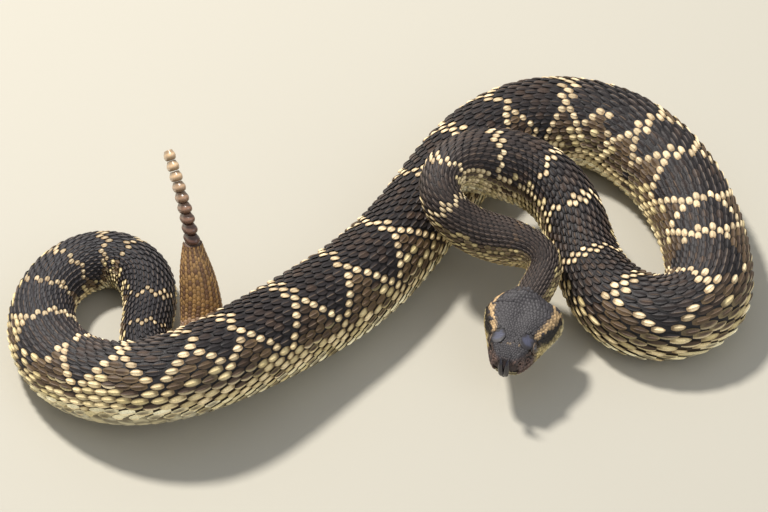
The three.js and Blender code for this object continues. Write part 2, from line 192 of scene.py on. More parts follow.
# Rattle
RATTLE_SEGMENTS = 9
RATTLE_FOOT = np.array([-82.2, -24.1, 46.4])
RATTLE_BEND = np.array([-84.8, -18.7, 63.5])
RATTLE_TIP = np.array([-92.4, -1.9, 80.0])
RATTLE_HALF_WIDTH = (3.5, 2.6)
RATTLE_HALF_DEPTH = (5.6, 4.2)
RATTLE_GAP = 0.3
RATTLE_RINGS = 26
RATTLE_SIDES = 48
LOBE_GROOVE = 0.2
SEGMENT_PROFILE = [
    [0.0, 0.66], [0.08, 0.8], [0.2, 0.93], [0.36, 1.01], [0.52, 1.01], [0.68, 0.94],
    [0.8, 0.84], [0.88, 0.78], [0.94, 0.76], [1.0, 0.7],
]

# Unwraps for baking, and seeds of the random draws
UNWRAP_STRIPS = 8            # the skin's unwrap lies in this many strips
PATCH_REACH = 0.0015         # half the width of one scale's patch
SEEDS = dict(skin=3, back=11, tail=12, belly=13, head=21, lips=22)

# Camera, in degrees, metres and, for the lens, millimetres, and lamps in metres and watts
VIEW_TILT = 44.0             # the camera looks down by this much
VIEW_DISTANCE = 1.5
VIEW_TARGET = (0.0006, 0.0153, 0.0)
LENS = 156.1
LAMPS = [
    ("key_light", (-0.75, 0.7, 1.75), 0.3, 60, (1.0, 0.97, 0.92)),
    ("fill_light", (1.2, -1.2, 1.3), 1.6, 9, (0.9, 0.95, 1.0)),
]
SKY = dict(colour=(0.86, 0.89, 0.94, 1), strength=0.6)
FLOOR_HALF_SIZE = 3.0


# Colours, as linear light
def shade(red, green, blue):
    """A colour from its 0 to 255 values on a screen, as linear light."""
    c = np.array([red, green, blue]) / 255.0
    return np.where(c <= 0.04045, c / 12.92, ((c + 0.055) / 1.055) ** 2.4)


BLOTCH = shade(38, 33, 33)
BLOTCH_BROWN = shade(66, 50, 39)
BLOTCH_RIM = shade(25, 22, 23)
PALE = shade(244, 222, 180)
PALE_RIM = shade(116, 88, 56)
FIELD = shade(66, 50, 37)
FIELD_RIM = shade(118, 96, 66)
FLANK = shade(74, 58, 40)
FLANK_RIM = shade(214, 194, 138)
BELLY = shade(246, 236, 198)
NECK_BACK = shade(62, 52, 47)
COIL_BACK = shade(37, 34, 37)
TAIL_GOLD = shade(190, 148, 92)
TAIL_DARK = shade(104, 74, 60)
TAIL_PINK = shade(196, 168, 150)
SKIN_BETWEEN = shade(22, 18, 17)
CROWN = shade(60, 56, 58)
# painted sheen on the smooth brow plates
BROW_SHEEN_GREY = shade(66, 67, 82)
KEEL_SHEEN = shade(122, 103, 86)
TAN = shade(206, 172, 126)
EYE_BAND = shade(38, 33, 29)
LIP_YELLOW = shade(206, 184, 126)
SNOUT = shade(62, 54, 53)
SNOUT_PINK = shade(120, 96, 86)
CHIN = shade(214, 198, 150)
# painted shade in the crease of the closed mouth
MOUTH_CREASE_SHADE = shade(30, 20, 18)
IRIS = shade(112, 90, 58)
IRIS_EDGE = shade(44, 33, 24)
IRIS_BAND = shade(50, 36, 24)
PUPIL = shade(6, 5, 5)
# painted shade inside the nostrils and heat pits
HOLE_SHADE = shade(16, 11, 10)
TONGUE_BLACK = shade(16, 8, 24)
RATTLE_ROOT = shade(88, 58, 46)
RATTLE_MIDDLE = shade(132, 98, 76)
RATTLE_END = shade(200, 168, 130)
FLOOR_TONE = shade(176, 171, 158)


# Curves
def curve_between(a, b, start, end, share):
    """A smooth curve from a to b that leaves and arrives with the slopes start and end."""
    rise = b - a
    bend = 3 * rise - 2 * start - end
    return a + start * share + bend * share**2 + (start + end - 2 * rise) * share**3


def read_table(rows, distance, column):
    """A smooth curve through the rows of a table, read at many distances."""
    rows = np.asarray(rows, float)
    x, y = rows[:, 0], rows[:, column]
    ahead = np.minimum(np.arange(len(x)) + 1, len(x) - 1)
    behind = np.maximum(np.arange(len(x)) - 1, 0)
    slope = (y[ahead] - y[behind]) / (x[ahead] - x[behind])
    d = np.clip(distance, x[0], x[-1])
    k = np.clip(np.searchsorted(x, d, side="right") - 1, 0, len(x) - 2)
    span = x[k + 1] - x[k]
    return curve_between(y[k], y[k + 1], slope[k] * span, slope[k + 1] * span, (d - x[k]) / span)


def unit(v):
    return v / np.maximum(np.linalg.norm(v, axis=-1, keepdims=True), 1e-9)


def smooth(low, high, value):
    """0 up to low, 1 from high on, and a soft step between them. High may be the smaller of the two."""
    t = np.clip((value - low) / (high - low), 0, 1)
    return t * t * (3 - 2 * t)


def bell(*terms):
    """1 in the middle and towards 0 away from it. Each term is a value, its middle and its spread."""
    return np.exp(-sum(((value - middle) / spread)**2 for value, middle, spread in terms))


def mix(a, b, share):
    """Colour a with this share of colour b, point by point."""
    share = np.asarray(share)[..., None]
    return a * (1 - share) + b * share


UP = np.array([0.0, 0.0, 1.0])


class Backbone:
    """The line of the body, a cubic B-spline pulled along by the posts and sampled finely, with its girth
    and its sideways and upward directions."""

    def __init__(self, posts, steps=80):
        posts = np.array(posts, float)
        pull = np.vstack([2 * posts[0] - posts[1], posts, 2 * posts[-1] - posts[-2]])
        f = np.linspace(0, 1, steps, endpoint=False)[:, None]
        weights = [(1 - f)**3, 3 * f**3 - 6 * f**2 + 4, -3 * f**3 + 3 * f**2 + 3 * f + 1, f**3]
        slopes = [-3 * (1 - f)**2, 9 * f**2 - 12 * f, -9 * f**2 + 6 * f + 3, 3 * f**2]
        spans = range(len(pull) - 3)
        line = np.vstack([sum(w * pull[i + k] for k, w in enumerate(weights)) / 6 for i in spans])
        along = np.vstack([sum(w * pull[i + k] for k, w in enumerate(slopes)) for i in spans])
        self.centre = np.vstack([line, posts[-1]])
        self.along = unit(np.vstack([along, posts[-1] - posts[-2]]))
        steps_taken = np.linalg.norm(np.diff(self.centre, axis=0), axis=1)
        self.distance = np.concatenate([[0], np.cumsum(steps_taken)])
        self.side = unit(np.cross(self.along, UP))
        self.back = unit(np.cross(self.side, self.along))
        self.half_width = read_table(GIRTH, self.distance, 1)
        self.height = self.half_width * read_table(GIRTH, self.distance, 2)

    def read(self, values, distance):
        """Numbers or directions that the line holds, at other distances from the nape."""
        if values.ndim == 1:
            return np.interp(distance, self.distance, values)
        return np.stack([np.interp(distance, self.distance, v) for v in values.T], -1)


backbone = Backbone(POSTS)
BODY_END = backbone.distance[-1]


def body_surface(distance, angle):
    """Points on the body and the directions that point out of it."""
    angle = np.radians(angle)[..., None]
    centre = backbone.read(backbone.centre, distance)
    side = backbone.read(backbone.side, distance)
    back = backbone.read(backbone.back, distance)
    wide = backbone.read(backbone.half_width, distance)[..., None]
    high = backbone.read(backbone.height, distance)[..., None]
    point = centre + side * wide * np.sin(angle) + back * high * np.cos(angle)
    out = unit(side * np.sin(angle) / wide + back * np.cos(angle) / high)
    point[..., 2] = np.maximum(point[..., 2], 0)
    return point, out


# Head surface: sections across the head, joined smoothly to the first sections of the neck
HEAD_BACK = np.array([math.sin(HEAD_TURN), math.cos(HEAD_TURN), 0.0])
HEAD_LEFT = np.cross(HEAD_BACK, UP)


def in_head(back, left, rise):
    """A point of the head from its distance behind the snout, to the left and above the mouth."""
    back, left, rise = (np.asarray(v, float)[..., None] for v in (back, left, rise))
    return SNOUT_TIP + HEAD_BACK * back + HEAD_LEFT * left + UP * rise


def head_sections():
    """Rows of distance behind the snout, centre, sideways and upward directions and, as in the table,
    half width, heights above and below and squareness."""
    neck = backbone.centre[0]
    cheek = in_head(STRAIGHT_HEAD, 0, 0)
    nape = neck - 5 * backbone.along[0]
    nape[2] = cheek[2]
    end = np.array([neck[0], neck[1], cheek[2] + 2.2])
    sections = [(SNOUT_START, in_head(SNOUT_START, 0, 0.8), HEAD_LEFT, UP, 2.0, 1.9, 0.9, 2.2)]
    for back, wide, above, below, squareness in HEAD_STATIONS:
        f = np.clip((back - STRAIGHT_HEAD) / (HEAD_LENGTH - STRAIGHT_HEAD), 0, 1)
        if f > 0:
            centre = (1 - f)**2 * cheek + 2 * f * (1 - f) * nape + f**2 * end
            along = 2 * (1 - f) * (nape - cheek) + 2 * f * (end - nape)
            side = unit(np.cross(unit(along * [1, 1, 0]), UP))
        else:
            centre, side = in_head(back, 0, 0), HEAD_LEFT
        sections.append((back, centre, side, UP, wide, above, below, squareness))
    for step in NECK_STEPS:
        k = np.searchsorted(backbone.distance, step)
        side, up = backbone.side[k], backbone.back[k]
        wide, high = backbone.half_width[k], backbone.height[k]
        sections.append((HEAD_LENGTH + step, backbone.centre[k], side, up, wide, high, high, 2.0))
    return sections


SECTIONS = head_sections()
SECTION_PLACES = np.array([row[0] for row in SECTIONS])


def section_points(which, angle):
    """Points at these angles on these sections of the head."""
    columns = (np.array([row[k] for row in SECTIONS])[which] for k in range(1, 8))
    centre, side, up, wide, above, below, squareness = columns
    s, c = np.sin(angle), np.cos(angle)
    across = np.sign(s) * np.abs(s) ** (2 / squareness)
    height = np.sign(c) * np.abs(c) ** (2 / squareness)
    tall = np.where(height > 0, above, below)
    return centre + side * (wide * across)[..., None] + up * (tall * height)[..., None]


def head_points(back, angle):
    """Points on the plain form of the head, a smooth curve through its sections."""
    back, angle = np.broadcast_arrays(np.asarray(back, float), np.radians(angle))
    x = SECTION_PLACES
    last = len(x) - 1
    k = np.clip(np.searchsorted(x, back, side="right") - 1, 0, last - 1)
    before, after = np.maximum(k - 1, 0), np.minimum(k + 2, last)
    p0, p1, p2, p3 = (section_points(j, angle) for j in (before, k, k + 1, after))
    span = x[k + 1] - x[k]
    start = (p2 - p0) * (span / (x[k + 1] - x[before]))[..., None]
    end = (p3 - p1) * (span / (x[after] - x[k]))[..., None]
    return curve_between(p1, p2, start, end, np.clip((back - x[k]) / span, 0, 1)[..., None])


def head_frame(point):
    """Distance behind the snout, to the left and above the mouth, for points of the head."""
    offset = point - SNOUT_TIP
    return offset @ HEAD_BACK, offset @ HEAD_LEFT, offset[..., 2]


def relief(point, back):
    """How far the flesh of the head stands out from its plain form."""
    place, left, rise = head_frame(point)
    side = np.abs(left)
    # jaw muscles swell behind the eyes, with a shallow dip between them
    lift = 0.9 * bell((place, 28, 6.5), (side, 11.5, 4.5), (rise, 6.5, 4))
    lift -= 0.9 * bell((place, 26, 8), (side, 0, 3.6)) * (rise > 4)
    # ridge from the brow to the snout, hollow cheek before the eye
    ridge_out = 3.4 + 0.42 * place
    lift += 0.5 * bell((side, ridge_out, 1.2)) * smooth(11, 7, place) * (rise > 3.5)
    lift -= 0.7 * bell((place, 7.5, 2.6), (rise, 3.8, 1.6)) * (side > 5)
    # flat of the crown between the brows, and the brow's overhang
    lift -= 0.45 * bell((place, 12, 4), (side, 0, 3)) * (rise > 4)
    lift += 0.6 * bell((place, 12, 4.4), (side, 7.6, 1.8)) * (rise > 6)
    # lips stand out a little, and the chin tucks in under them
    lift += 0.25 * bell((rise, 1.3, 1.0)) * (place < 27)
    return np.where(back < RELIEF_END, lift, 0)


def head_surface(back, angle):
    """Points on the head with its relief, and the directions that point out of it."""
    step_back, step_angle = 0.25, 1.5
    back, angle = np.broadcast_arrays(np.asarray(back, float), np.asarray(angle, float))
    point = head_points(back, angle)
    forward = head_points(back + step_back, angle) - head_points(back - step_back, angle)
    around = head_points(back, angle + step_angle) - head_points(back, angle - step_angle)
    out = unit(np.cross(around, forward))
    return point + out * relief(point, back)[..., None], out


def surface(distance, angle, lift=0.0):
    """Points at some lift above the whole snake, head and body."""
    distance, angle = np.broadcast_arrays(np.asarray(distance, float), np.asarray(angle, float))
    lift = np.broadcast_to(np.asarray(lift, float), distance.shape)
    point, out = body_surface(np.clip(distance, 0, BODY_END), angle)
    on_head = distance < 0
    if on_head.any():
        point[on_head], out[on_head] = head_surface(HEAD_LENGTH + distance[on_head], angle[on_head])
    point = point + out * lift[..., None]
    point[..., 2] = np.maximum(point[..., 2], 0)
    return point


def mouth_at(back):
    """Height of the line of the mouth at this distance behind the snout."""
    return read_table(MOUTH_LINE, back, 1)


def eye_centre(side):
    return in_head(EYE["back"], side * EYE["out"], EYE["up"])


def angle_at_rise(back, rise, side):
    """The angle round the head at which its side has this height above the mouth."""
    sweep = np.linspace(5, 175, 171) * side
    heights = head_frame(head_points(back, sweep))[2]
    return np.interp(-rise, -heights, sweep)


# Meshes
def make_piece(name, points, quads, tris, material, uv=None, tint=None, sharp=None):
    """A mesh object from points in millimetres, with a colour for each point."""
    mesh = bpy.data.meshes.new(name)
    quads = np.asarray(quads, np.int64).reshape(-1, 4)
    tris = np.asarray(tris, np.int64).reshape(-1, 3)
    loops = np.concatenate([quads.ravel(), tris.ravel()]).astype(np.int32)
    starts = np.concatenate([np.arange(len(quads)) * 4, len(quads) * 4 + np.arange(len(tris)) * 3])
    mesh.vertices.add(len(points))
    mesh.vertices.foreach_set("co", (points * MM).astype(np.float32).ravel())
    mesh.loops.add(len(loops))
    mesh.loops.foreach_set("vertex_index", loops)
    mesh.polygons.add(len(quads) + len(tris))
    mesh.polygons.foreach_set("loop_start", starts.astype(np.int32))
    mesh.update(calc_edges=True)
    if uv is not None:
        layer = mesh.uv_layers.new(name="OFBake")
        layer.data.foreach_set("uv", uv[loops].astype(np.float32).ravel())
    if tint is not None:
        colour = mesh.color_attributes.new("tint", "FLOAT_COLOR", "POINT")
        rgba = np.concatenate([tint, np.ones((len(tint), 1))], 1)
        colour.data.foreach_set("color", rgba.astype(np.float32).ravel())
    mesh.materials.append(material)
    mesh.shade_smooth()
    if sharp:
        mesh.set_sharp_from_angle(angle=math.radians(sharp))
    piece = bpy.data.objects.new(name, mesh)
    bpy.context.scene.collection.objects.link(piece)
    return piece


def place_piece(piece, slot, *nodes):
    """The piece goes with the snake and stands for these solids. The slot is not used."""
    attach(piece, "root")
    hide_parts(*nodes)


def grid_faces(rows, columns, closed=False, looped=False):
    """Quads over a grid of points. Closed joins each row into a ring, looped the last row to the first."""
    down = rows if looped else rows - 1
    across = columns if closed else columns - 1
    r, c = np.meshgrid(np.arange(down), np.arange(across), indexing="ij")
    here, below = r * columns, (r + 1) % rows * columns
    beside = (c + 1) % columns
    return np.stack([here + c, here + beside, below + beside, below + c], -1).reshape(-1, 4)


def grid_edge(rows, columns):
    """The points round the edge of a grid: first row, last column, last row, first column."""
    order = np.arange(rows * columns).reshape(rows, columns)
    return np.concatenate([order[0], order[1:, -1], order[-1, -2::-1], order[-2:0:-1, 0]])


def with_ends(rings):
    """Values on rings as one list, with the mean of the first ring and of the last at its end."""
    flat = rings.reshape(-1, rings.shape[-1])
    return np.concatenate([flat, rings[0].mean(0)[None], rings[-1].mean(0)[None]])


def closed_tube(rings):
    """Points, quads and triangles of a tube over rings of points, with a fan over each end."""
    count, sides = rings.shape[:2]
    k = np.arange(sides)
    following = (k + 1) % sides
    last = (count - 1) * sides
    nose = np.stack([np.full(sides, count * sides), following, k], -1)
    tail = np.stack([np.full(sides, count * sides + 1), last + k, last + following], -1)
    return with_ends(rings), grid_faces(count, sides, closed=True), np.concatenate([nose, tail])


def tube_piece(name, rings, material, tint, uv=None):
    """A piece made of one closed tube, with colours and unwrap places given ring by ring."""
    points, quads, tris = closed_tube(rings)
    uv = None if uv is None else with_ends(uv)
    return make_piece(name, points, quads, tris, material, uv, with_ends(tint))


class Gathered:
    """Collects small closed forms into one mesh."""

    def __init__(self):
        self.points, self.quads, self.tris, self.tint, self.uv, self.count = [], [], [], [], [], 0

    def add(self, points, quads, tris, tint, uv_place):
        self.points.append(points)
        self.quads.append(np.asarray(quads).reshape(-1, 4) + self.count)
        self.tris.append(np.asarray(tris, int).reshape(-1, 3) + self.count)
        self.tint.append(np.broadcast_to(tint, points.shape))
        spread = np.linspace(-PATCH_REACH, PATCH_REACH, len(points))
        self.uv.append(np.stack([uv_place[0] + spread, uv_place[1] + spread[::-1]], -1))
        self.count += len(points)

    def piece(self, name, material, sharp=None):
        joined = (self.points, self.quads, self.tris, self.uv, self.tint)
        points, quads, tris, uv, tint = (np.concatenate(part) for part in joined)
        return make_piece(name, points, quads, tris, material, uv, tint, sharp)


# Forms of the scales
class ScaleForm:
    """One scale as a small closed form: x across from -1 to 1, y from root to tip, z above the skin."""

    def __init__(self, columns, rows, outline, keel=0.0, dome=0.2, slope=0.7, sink=-0.5):
        across, y = np.meshgrid(columns, rows)
        width = np.interp(rows, *outline)[:, None]
        ramp = smooth(0.02, 0.25, y) * smooth(1.02, 0.86, y)
        z = slope * (smooth(0, 0.8, y) - 0.55) + dome * (1 - np.abs(across)**2.5) * smooth(0, 0.3, y)
        z = z + keel * bell((across, 0, KEEL_WIDTH)) * ramp - 0.12 * smooth(0.85, 1.0, y)
        edge = grid_edge(*y.shape)
        self.quads = grid_faces(*y.shape)
        self.tris = np.stack([edge, np.roll(edge, -1), np.full(len(edge), y.size)], -1)
        self.x = np.append(across * width, 0)
        self.y = np.append(y, FOOT_PLACE)
        self.z = np.append(z, sink)
        self.across = np.append(across, 0)


KEELED_SCALE = ScaleForm([-1, -0.6, -0.22, -0.08, 0, 0.08, 0.22, 0.6, 1],
                         [0, 0.14, 0.32, 0.5, 0.68, 0.84, 0.94, 1.0], POINTED,
                         keel=0.3, dome=0.16, slope=0.72)
GRAIN_SCALE = ScaleForm([-1, -0.55, 0, 0.55, 1], [0, 0.2, 0.45, 0.7, 0.9, 1.0], ROUNDED,
                        keel=0.1, slope=0.42)
BELLY_PLATE = ScaleForm(np.linspace(-1, 1, 17), [0, 0.15, 0.5, 0.85, 0.97, 1.0], OBLONG,
                        dome=0.0, slope=0.7, sink=-0.6)


def lay_scales(form, distance, angle, length, width, size, centre_colour, rim_colour, sheen=0.0,
               lower_colour=None, lower_share=0.0, down=1.0):
    """Points, faces and colours of many scales. length is in millimetres, width in degrees either side,
    size scales the heights, and sheen is the share of a paler tone along the keel. The half of a scale
    towards the belly may have a colour of its own, and down is the sign of x on that side."""
    count = len(distance)

    def column(values):
        return np.broadcast_to(np.asarray(values, float), (count,))[:, None]

    s = column(distance) + column(length) * (form.y - ROOT_SHARE)
    phi = column(angle) + column(width) * form.x
    points = surface(s, phi, column(size) * form.z).reshape(-1, 3)
    first = (np.arange(count) * len(form.x))[:, None, None]
    quads = (form.quads + first).reshape(-1, 4)
    tris = (form.tris + first).reshape(-1, 3)
    edge = np.maximum(np.abs(form.across)**2.4, smooth(0.74, 1.0, form.y))
    edge = np.maximum(edge, smooth(0.42, 0.08, form.y))
    colour = mix(centre_colour[:, None], rim_colour[:, None], edge[None])
    ridge = bell((form.across, 0, 0.1)) * smooth(0.15, 0.4, form.y) * smooth(1.0, 0.9, form.y)
    colour = mix(colour, np.maximum(colour, KEEL_SHEEN), ridge * column(sheen))
    if lower_colour is not None:
        towards_belly = form.across * column(down) + 0.5 * (form.y - 0.5)
        share = smooth(0.15, 0.5, towards_belly) * column(lower_share)
        colour = mix(colour, lower_colour[:, None], share)
    return points, quads, tris, colour.reshape(-1, 3)


def coat_piece(name, form, laid, distance, angle, span, material, sharp=SCALE_SHARP):
    """A piece of laid scales. Each has a small patch at its root's place on an unwrap of the skin, from
    the lowest to the highest distance in its span."""
    points, quads, tris, tint = laid
    low, high = span
    u = ((distance - low) / (high - low))[:, None] + PATCH_REACH * (2 * form.y - 1)
    v = ((angle + 180) / 360)[:, None] + PATCH_REACH * form.x
    uv = np.clip(np.stack([u, v], -1), 0, 1).reshape(-1, 2)
    return make_piece(name, points, quads, tris, material, uv, tint, sharp)


# Lattice of the scales: places along the body are counted in scale lengths from the nape
def pitch_at(distance):
    """Length of one step of the lattice, longer where the body is wider."""
    return PITCH_BASE + PITCH_BY_WIDTH * backbone.read(backbone.half_width, distance)


COUNTS = np.concatenate([[0], np.cumsum(np.diff(backbone.distance) / pitch_at(backbone.distance[1:]))])


def to_count(distance):
    return np.interp(distance, backbone.distance, COUNTS)


def to_distance(count):
    return np.interp(count, COUNTS, backbone.distance)


JOINT_PLACES, JOINT_ROLLS = np.array(JOINTS, float).T
JOINT_COUNTS = np.round(to_count(JOINT_PLACES))
BROKEN_COUNT = np.round(to_count(BROKEN_JOINT))
ALL_JOINTS = np.concatenate([[-2.0], JOINT_COUNTS, JOINT_COUNTS[-1] + np.arange(1, 9) * 5.0])


def smoothed_rolls(places, reach=4, softness=2.2):
    """The rolls of the joints, joined by straight lines and then smoothed along the body."""
    rough = np.interp(places, [0, 10, *JOINT_PLACES, 880, 950], [0, 0, *JOINT_ROLLS, 0, 0])
    kernel = np.exp(-(np.arange(-reach, reach + 1) / softness)**2)
    return np.convolve(np.pad(rough, reach, mode="edge"), kernel / kernel.sum(), "valid")


ROLL_PLACES = np.arange(0, 960, 4.0)
ROLLS = smoothed_rolls(ROLL_PLACES)


def roll_at(distance):
    """How far the middle of the back is rolled over, in degrees."""
    return np.interp(distance, ROLL_PLACES, ROLLS)


def row_angle_at(distance):
    """Angle between two rows of scales."""
    on_neck = smooth(20, 55, distance) * smooth(175, 135, distance)
    return ROW_ANGLE + (NECK_ROW_ANGLE - ROW_ANGLE) * on_neck


# Markings of the body
class PatternPlaces:
    """Where scales lie in the pattern, in scale lengths along the body and rows down its side. Each joint
    is a bar over the back. Lower down its two arms swing away from it, to meet those of its neighbours."""

    def __init__(self, count, row, rng):
        k = np.clip(np.searchsorted(ALL_JOINTS, count, side="right"), 1, len(ALL_JOINTS) - 1)
        before, after = count - ALL_JOINTS[k - 1], ALL_JOINTS[k] - count
        self.count = count
        self.row = row
        self.side_row = np.abs(row).astype(float)
        self.distance = to_distance(count)
        self.near = np.minimum(before, after)
        self.nearest = np.where(before < after, ALL_JOINTS[k - 1], ALL_JOINTS[k])
        self.half_gap = (before + after) / 2
        ladder = smooth(*LADDER, self.distance)
        front_turn = smooth(*FRONT_TURN_START, self.distance) * smooth(*FRONT_TURN_END, self.distance)
        self.on_ladder = ladder > 0.5
        self.bar_rows = 2 + 3 * smooth(*LEFT_COIL, self.distance) + 4 * ladder
        self.steep = np.maximum(0.5, self.half_gap / MEET_ROWS * front_turn)
        self.meet = self.bar_rows + self.half_gap / self.steep
        swing = np.clip((self.side_row - self.bar_rows) * self.steep, 0, self.half_gap)
        self.inside = self.near - swing      # above 0 in a blotch, below 0 between the arms of a joint
        self.luck = rng.random((len(count), 4))


def blotch_tones(at):
    """Dark blotches with a black rim, brown in the middle of some, greyer on the left coil."""
    tone = mix(BLOTCH, BLOTCH_BROWN, 0.75 * smooth(1.0, 2.2, at.inside) * at.luck[:, 0]**2)
    tone = mix(tone, BLOTCH_RIM, 0.7 * smooth(1.1, 0.4, at.inside))
    tone = mix(tone, COIL_BACK, smooth(*LEFT_COIL, at.distance))
    return mix(tone, NECK_BACK, 0.75 * smooth(*NECK_FADE, at.distance))


def paint_fields(at, centre, rim):
    """Brown fields on the sides, between the two arms of one joint."""
    field = at.inside < -0.25
    tone = mix(FIELD, FIELD_RIM, 0.35 * at.luck[:, 1])
    tone = mix(tone, BLOTCH_BROWN * 0.8, 0.8 * smooth(0.35, 1.0, at.luck[:, 2]))
    centre[field] = tone[field]
    rim[field] = mix(tone * 0.6, FIELD_RIM, 0.55 * (at.luck[:, 3] > 0.5))[field]


def find_pale(at):
    """Which scales make the pale bars, their arms and the side lines of the neck."""
    luck, side_row = at.luck, at.side_row
    # over the back one scale in each row, in a zigzag of two rows, and some pairs in the middle
    lean = np.where((at.row + at.nearest) % 4 < 2, 1, -1) * np.where(luck[:, 3] < 0.2, -1, 1)
    one_side = (at.near < 0.1) | (np.sign(at.count - at.nearest) == lean)
    paired = (at.distance < LEFT_COIL[0]) & (side_row < 2) & (luck[:, 0] < 0.7)
    bar = (side_row <= at.bar_rows) & (at.near <= 0.55) & (one_side | paired)
    # the arms, here and there two scales thick, which the neck has no room for
    arm = (np.abs(at.inside) < np.maximum(0.3, at.steep * 0.56)) & (side_row <= at.meet + 0.5)
    arm &= (side_row > at.bar_rows) & ~at.on_ladder
    thick = (side_row > at.bar_rows + 2) & (at.inside < -0.3) & (at.inside > -0.8) & (luck[:, 0] < 0.22)
    side_line = at.on_ladder & (side_row == SIDE_LINE_ROW) & (luck[:, 2] < 0.75)
    broken = (at.nearest == BROKEN_COUNT) & (luck[:, 2] < 0.62) & (side_row < 6)
    return (bar | arm | thick | side_line) & (luck[:, 1] > 0.03) & ~broken


def paint_pale(at, centre, rim, pale):
    """Cream scales, yellower down the side and duller on the left coil."""
    tone = mix(PALE, PALE_RIM, 0.42 * at.luck[:, 2]**1.5)
    tone = mix(tone, FLANK_RIM, 0.6 * smooth(4, 9, at.side_row))
    tone = tone * (1 - 0.42 * smooth(*COIL_DULL, at.distance))[:, None]
    centre[pale] = tone[pale]
    rim[pale] = mix(tone, PALE_RIM, 0.85)[pale]


def paint_flanks(at, centre, rim):
    """Below the arms, a network round dark side spots, then the yellowish lowest rows. Returns the colour
    of each scale's half towards the belly, and that colour's share."""
    luck, side_row = at.luck, at.side_row
    meet = np.where(at.on_ladder, SIDE_LINE_ROW, at.meet)
    low = side_row > meet
    spot = (at.near < at.half_gap - 0.35 - 0.3 * (side_row - meet)) & (side_row <= 10)
    spot = low & np.where(at.on_ladder, luck[:, 0] < 0.62 - 0.08 * (side_row - 8), spot)
    centre[spot] = mix(FIELD, BLOTCH_BROWN, luck[:, 2])[spot]
    rim[spot] = mix(FIELD, FLANK_RIM, 0.25 * luck[:, 3])[spot]
    network = low & ~spot & (luck[:, 1] > 0.1)
    centre[network] = mix(FLANK, FIELD, luck[:, 0])[network]
    rim[network] = FIELD * 0.6
    cream = smooth(5, 10.5, side_row) * 0.7 + 0.12
    bright = (low | (side_row >= 6)) & (luck[:, 3] < cream) & ~(spot & (side_row < 9))
    centre[bright] = mix(FLANK_RIM, PALE, 0.6 * luck[:, 0])[bright]
    rim[bright] = mix(FLANK_RIM, FIELD_RIM, 0.9)
    lowest = side_row >= ROWS - 1
    lowest_tone = mix(FLANK_RIM, BELLY, luck[:, 0])
    centre[lowest] = mix(lowest_tone, FLANK, (luck[:, 2] > 0.55) * 0.8)[lowest]
    rim[lowest] = lowest_tone[lowest]
    edge_rows = (side_row >= 6) & (at.inside < 0.3) & ~network & ~lowest
    outlined = edge_rows & (luck[:, 3] < 0.25 + 0.22 * (side_row - 6)) & ~bright
    share = (outlined | network | (spot & (side_row > 7))) * (0.55 + 0.45 * luck[:, 2])
    colour = mix(FLANK_RIM, PALE, luck[:, 0]) * (0.45 + 0.55 * smooth(5.5, 10, side_row))[:, None]
    return colour, share


def paint_neck(at, centre, rim, pale):
    """Behind the head the bars fade to a few scales, and the sides are brown with cream dashes. Returns
    which scales are still pale."""
    luck, side_row = at.luck, at.side_row
    neck = at.distance < NECK_END
    fade = neck & pale & ((luck[:, 0] < 0.5) | (at.distance < NAPE_END))
    centre[fade] = mix(NECK_BACK, PALE_RIM, 0.7 * luck[:, 3])[fade]
    rim[fade] = NECK_BACK * 0.7
    dash = neck & (side_row >= 5) & (luck[:, 3] < 0.12 * (side_row - 4))
    centre[dash] = mix(FLANK_RIM, PALE_RIM, 0.7 * luck[:, 2])[dash]
    brown = neck & (side_row >= 6) & ~dash
    centre[brown] = mix(FIELD, FIELD_RIM, 0.6 * luck[:, 2])[brown]
    rim[dash | brown] = mix(FIELD * 0.7, FLANK_RIM, 0.4 * luck[:, 0])[dash | brown]
    return pale & ~fade


def body_colours(count, row, rng):
    """For each body scale its centre and rim colour, whether it is pale, and its lower half's colour and
    share."""
    at = PatternPlaces(count, row, rng)
    centre = blotch_tones(at)
    rim = centre * 0.62
    paint_fields(at, centre, rim)
    lower_colour, lower_share = paint_flanks(at, centre, rim)
    pale = find_pale(at)
    paint_pale(at, centre, rim, pale)
    pale = paint_neck(at, centre, rim, pale)
    lower_share[pale] = 0
    vary = 1 + 0.3 * (at.luck[:, :1] - 0.5) + 0.2 * (at.luck[:, 3:] - 0.5)
    return centre * vary, rim * vary, pale, lower_colour * vary, lower_share


def tail_colours(distance, row, rng):
    """Golden scales with darker stripes, pinkish and darker at the root of the tail."""
    luck = rng.random((len(distance), 3))
    gold = mix(TAIL_GOLD, TAIL_DARK, 0.35 * luck[:, 0])
    dark = (np.abs(row) % 2 == 1) & (luck[:, 1] < 0.75)
    centre = mix(gold, TAIL_DARK, 0.75 * dark)
    centre = mix(centre, TAIL_PINK, 0.8 * smooth(*TAIL_PINK_END, distance) * (luck[:, 2] > 0.6))
    centre = mix(centre, TAIL_DARK, 0.35 * smooth(*TAIL_DARK_END, distance) * (luck[:, 2] < 0.6))
    return centre, mix(centre * 0.6, TAIL_DARK, 0.3)


def skin_colours(distance, angle):
    """The skin between the scales: dark on the back, tan low on the sides, cream under the belly."""
    rolled = np.abs(angle - roll_at(distance))
    tone = mix(SKIN_BETWEEN, FLANK * 0.6, smooth(70, 105, rolled))
    tone = mix(tone, BELLY * 0.8, smooth(112, 128, rolled))
    return mix(tone, TAIL_DARK * 0.6, smooth(*TAIL_BLEND, distance) * smooth(120, 100, rolled))


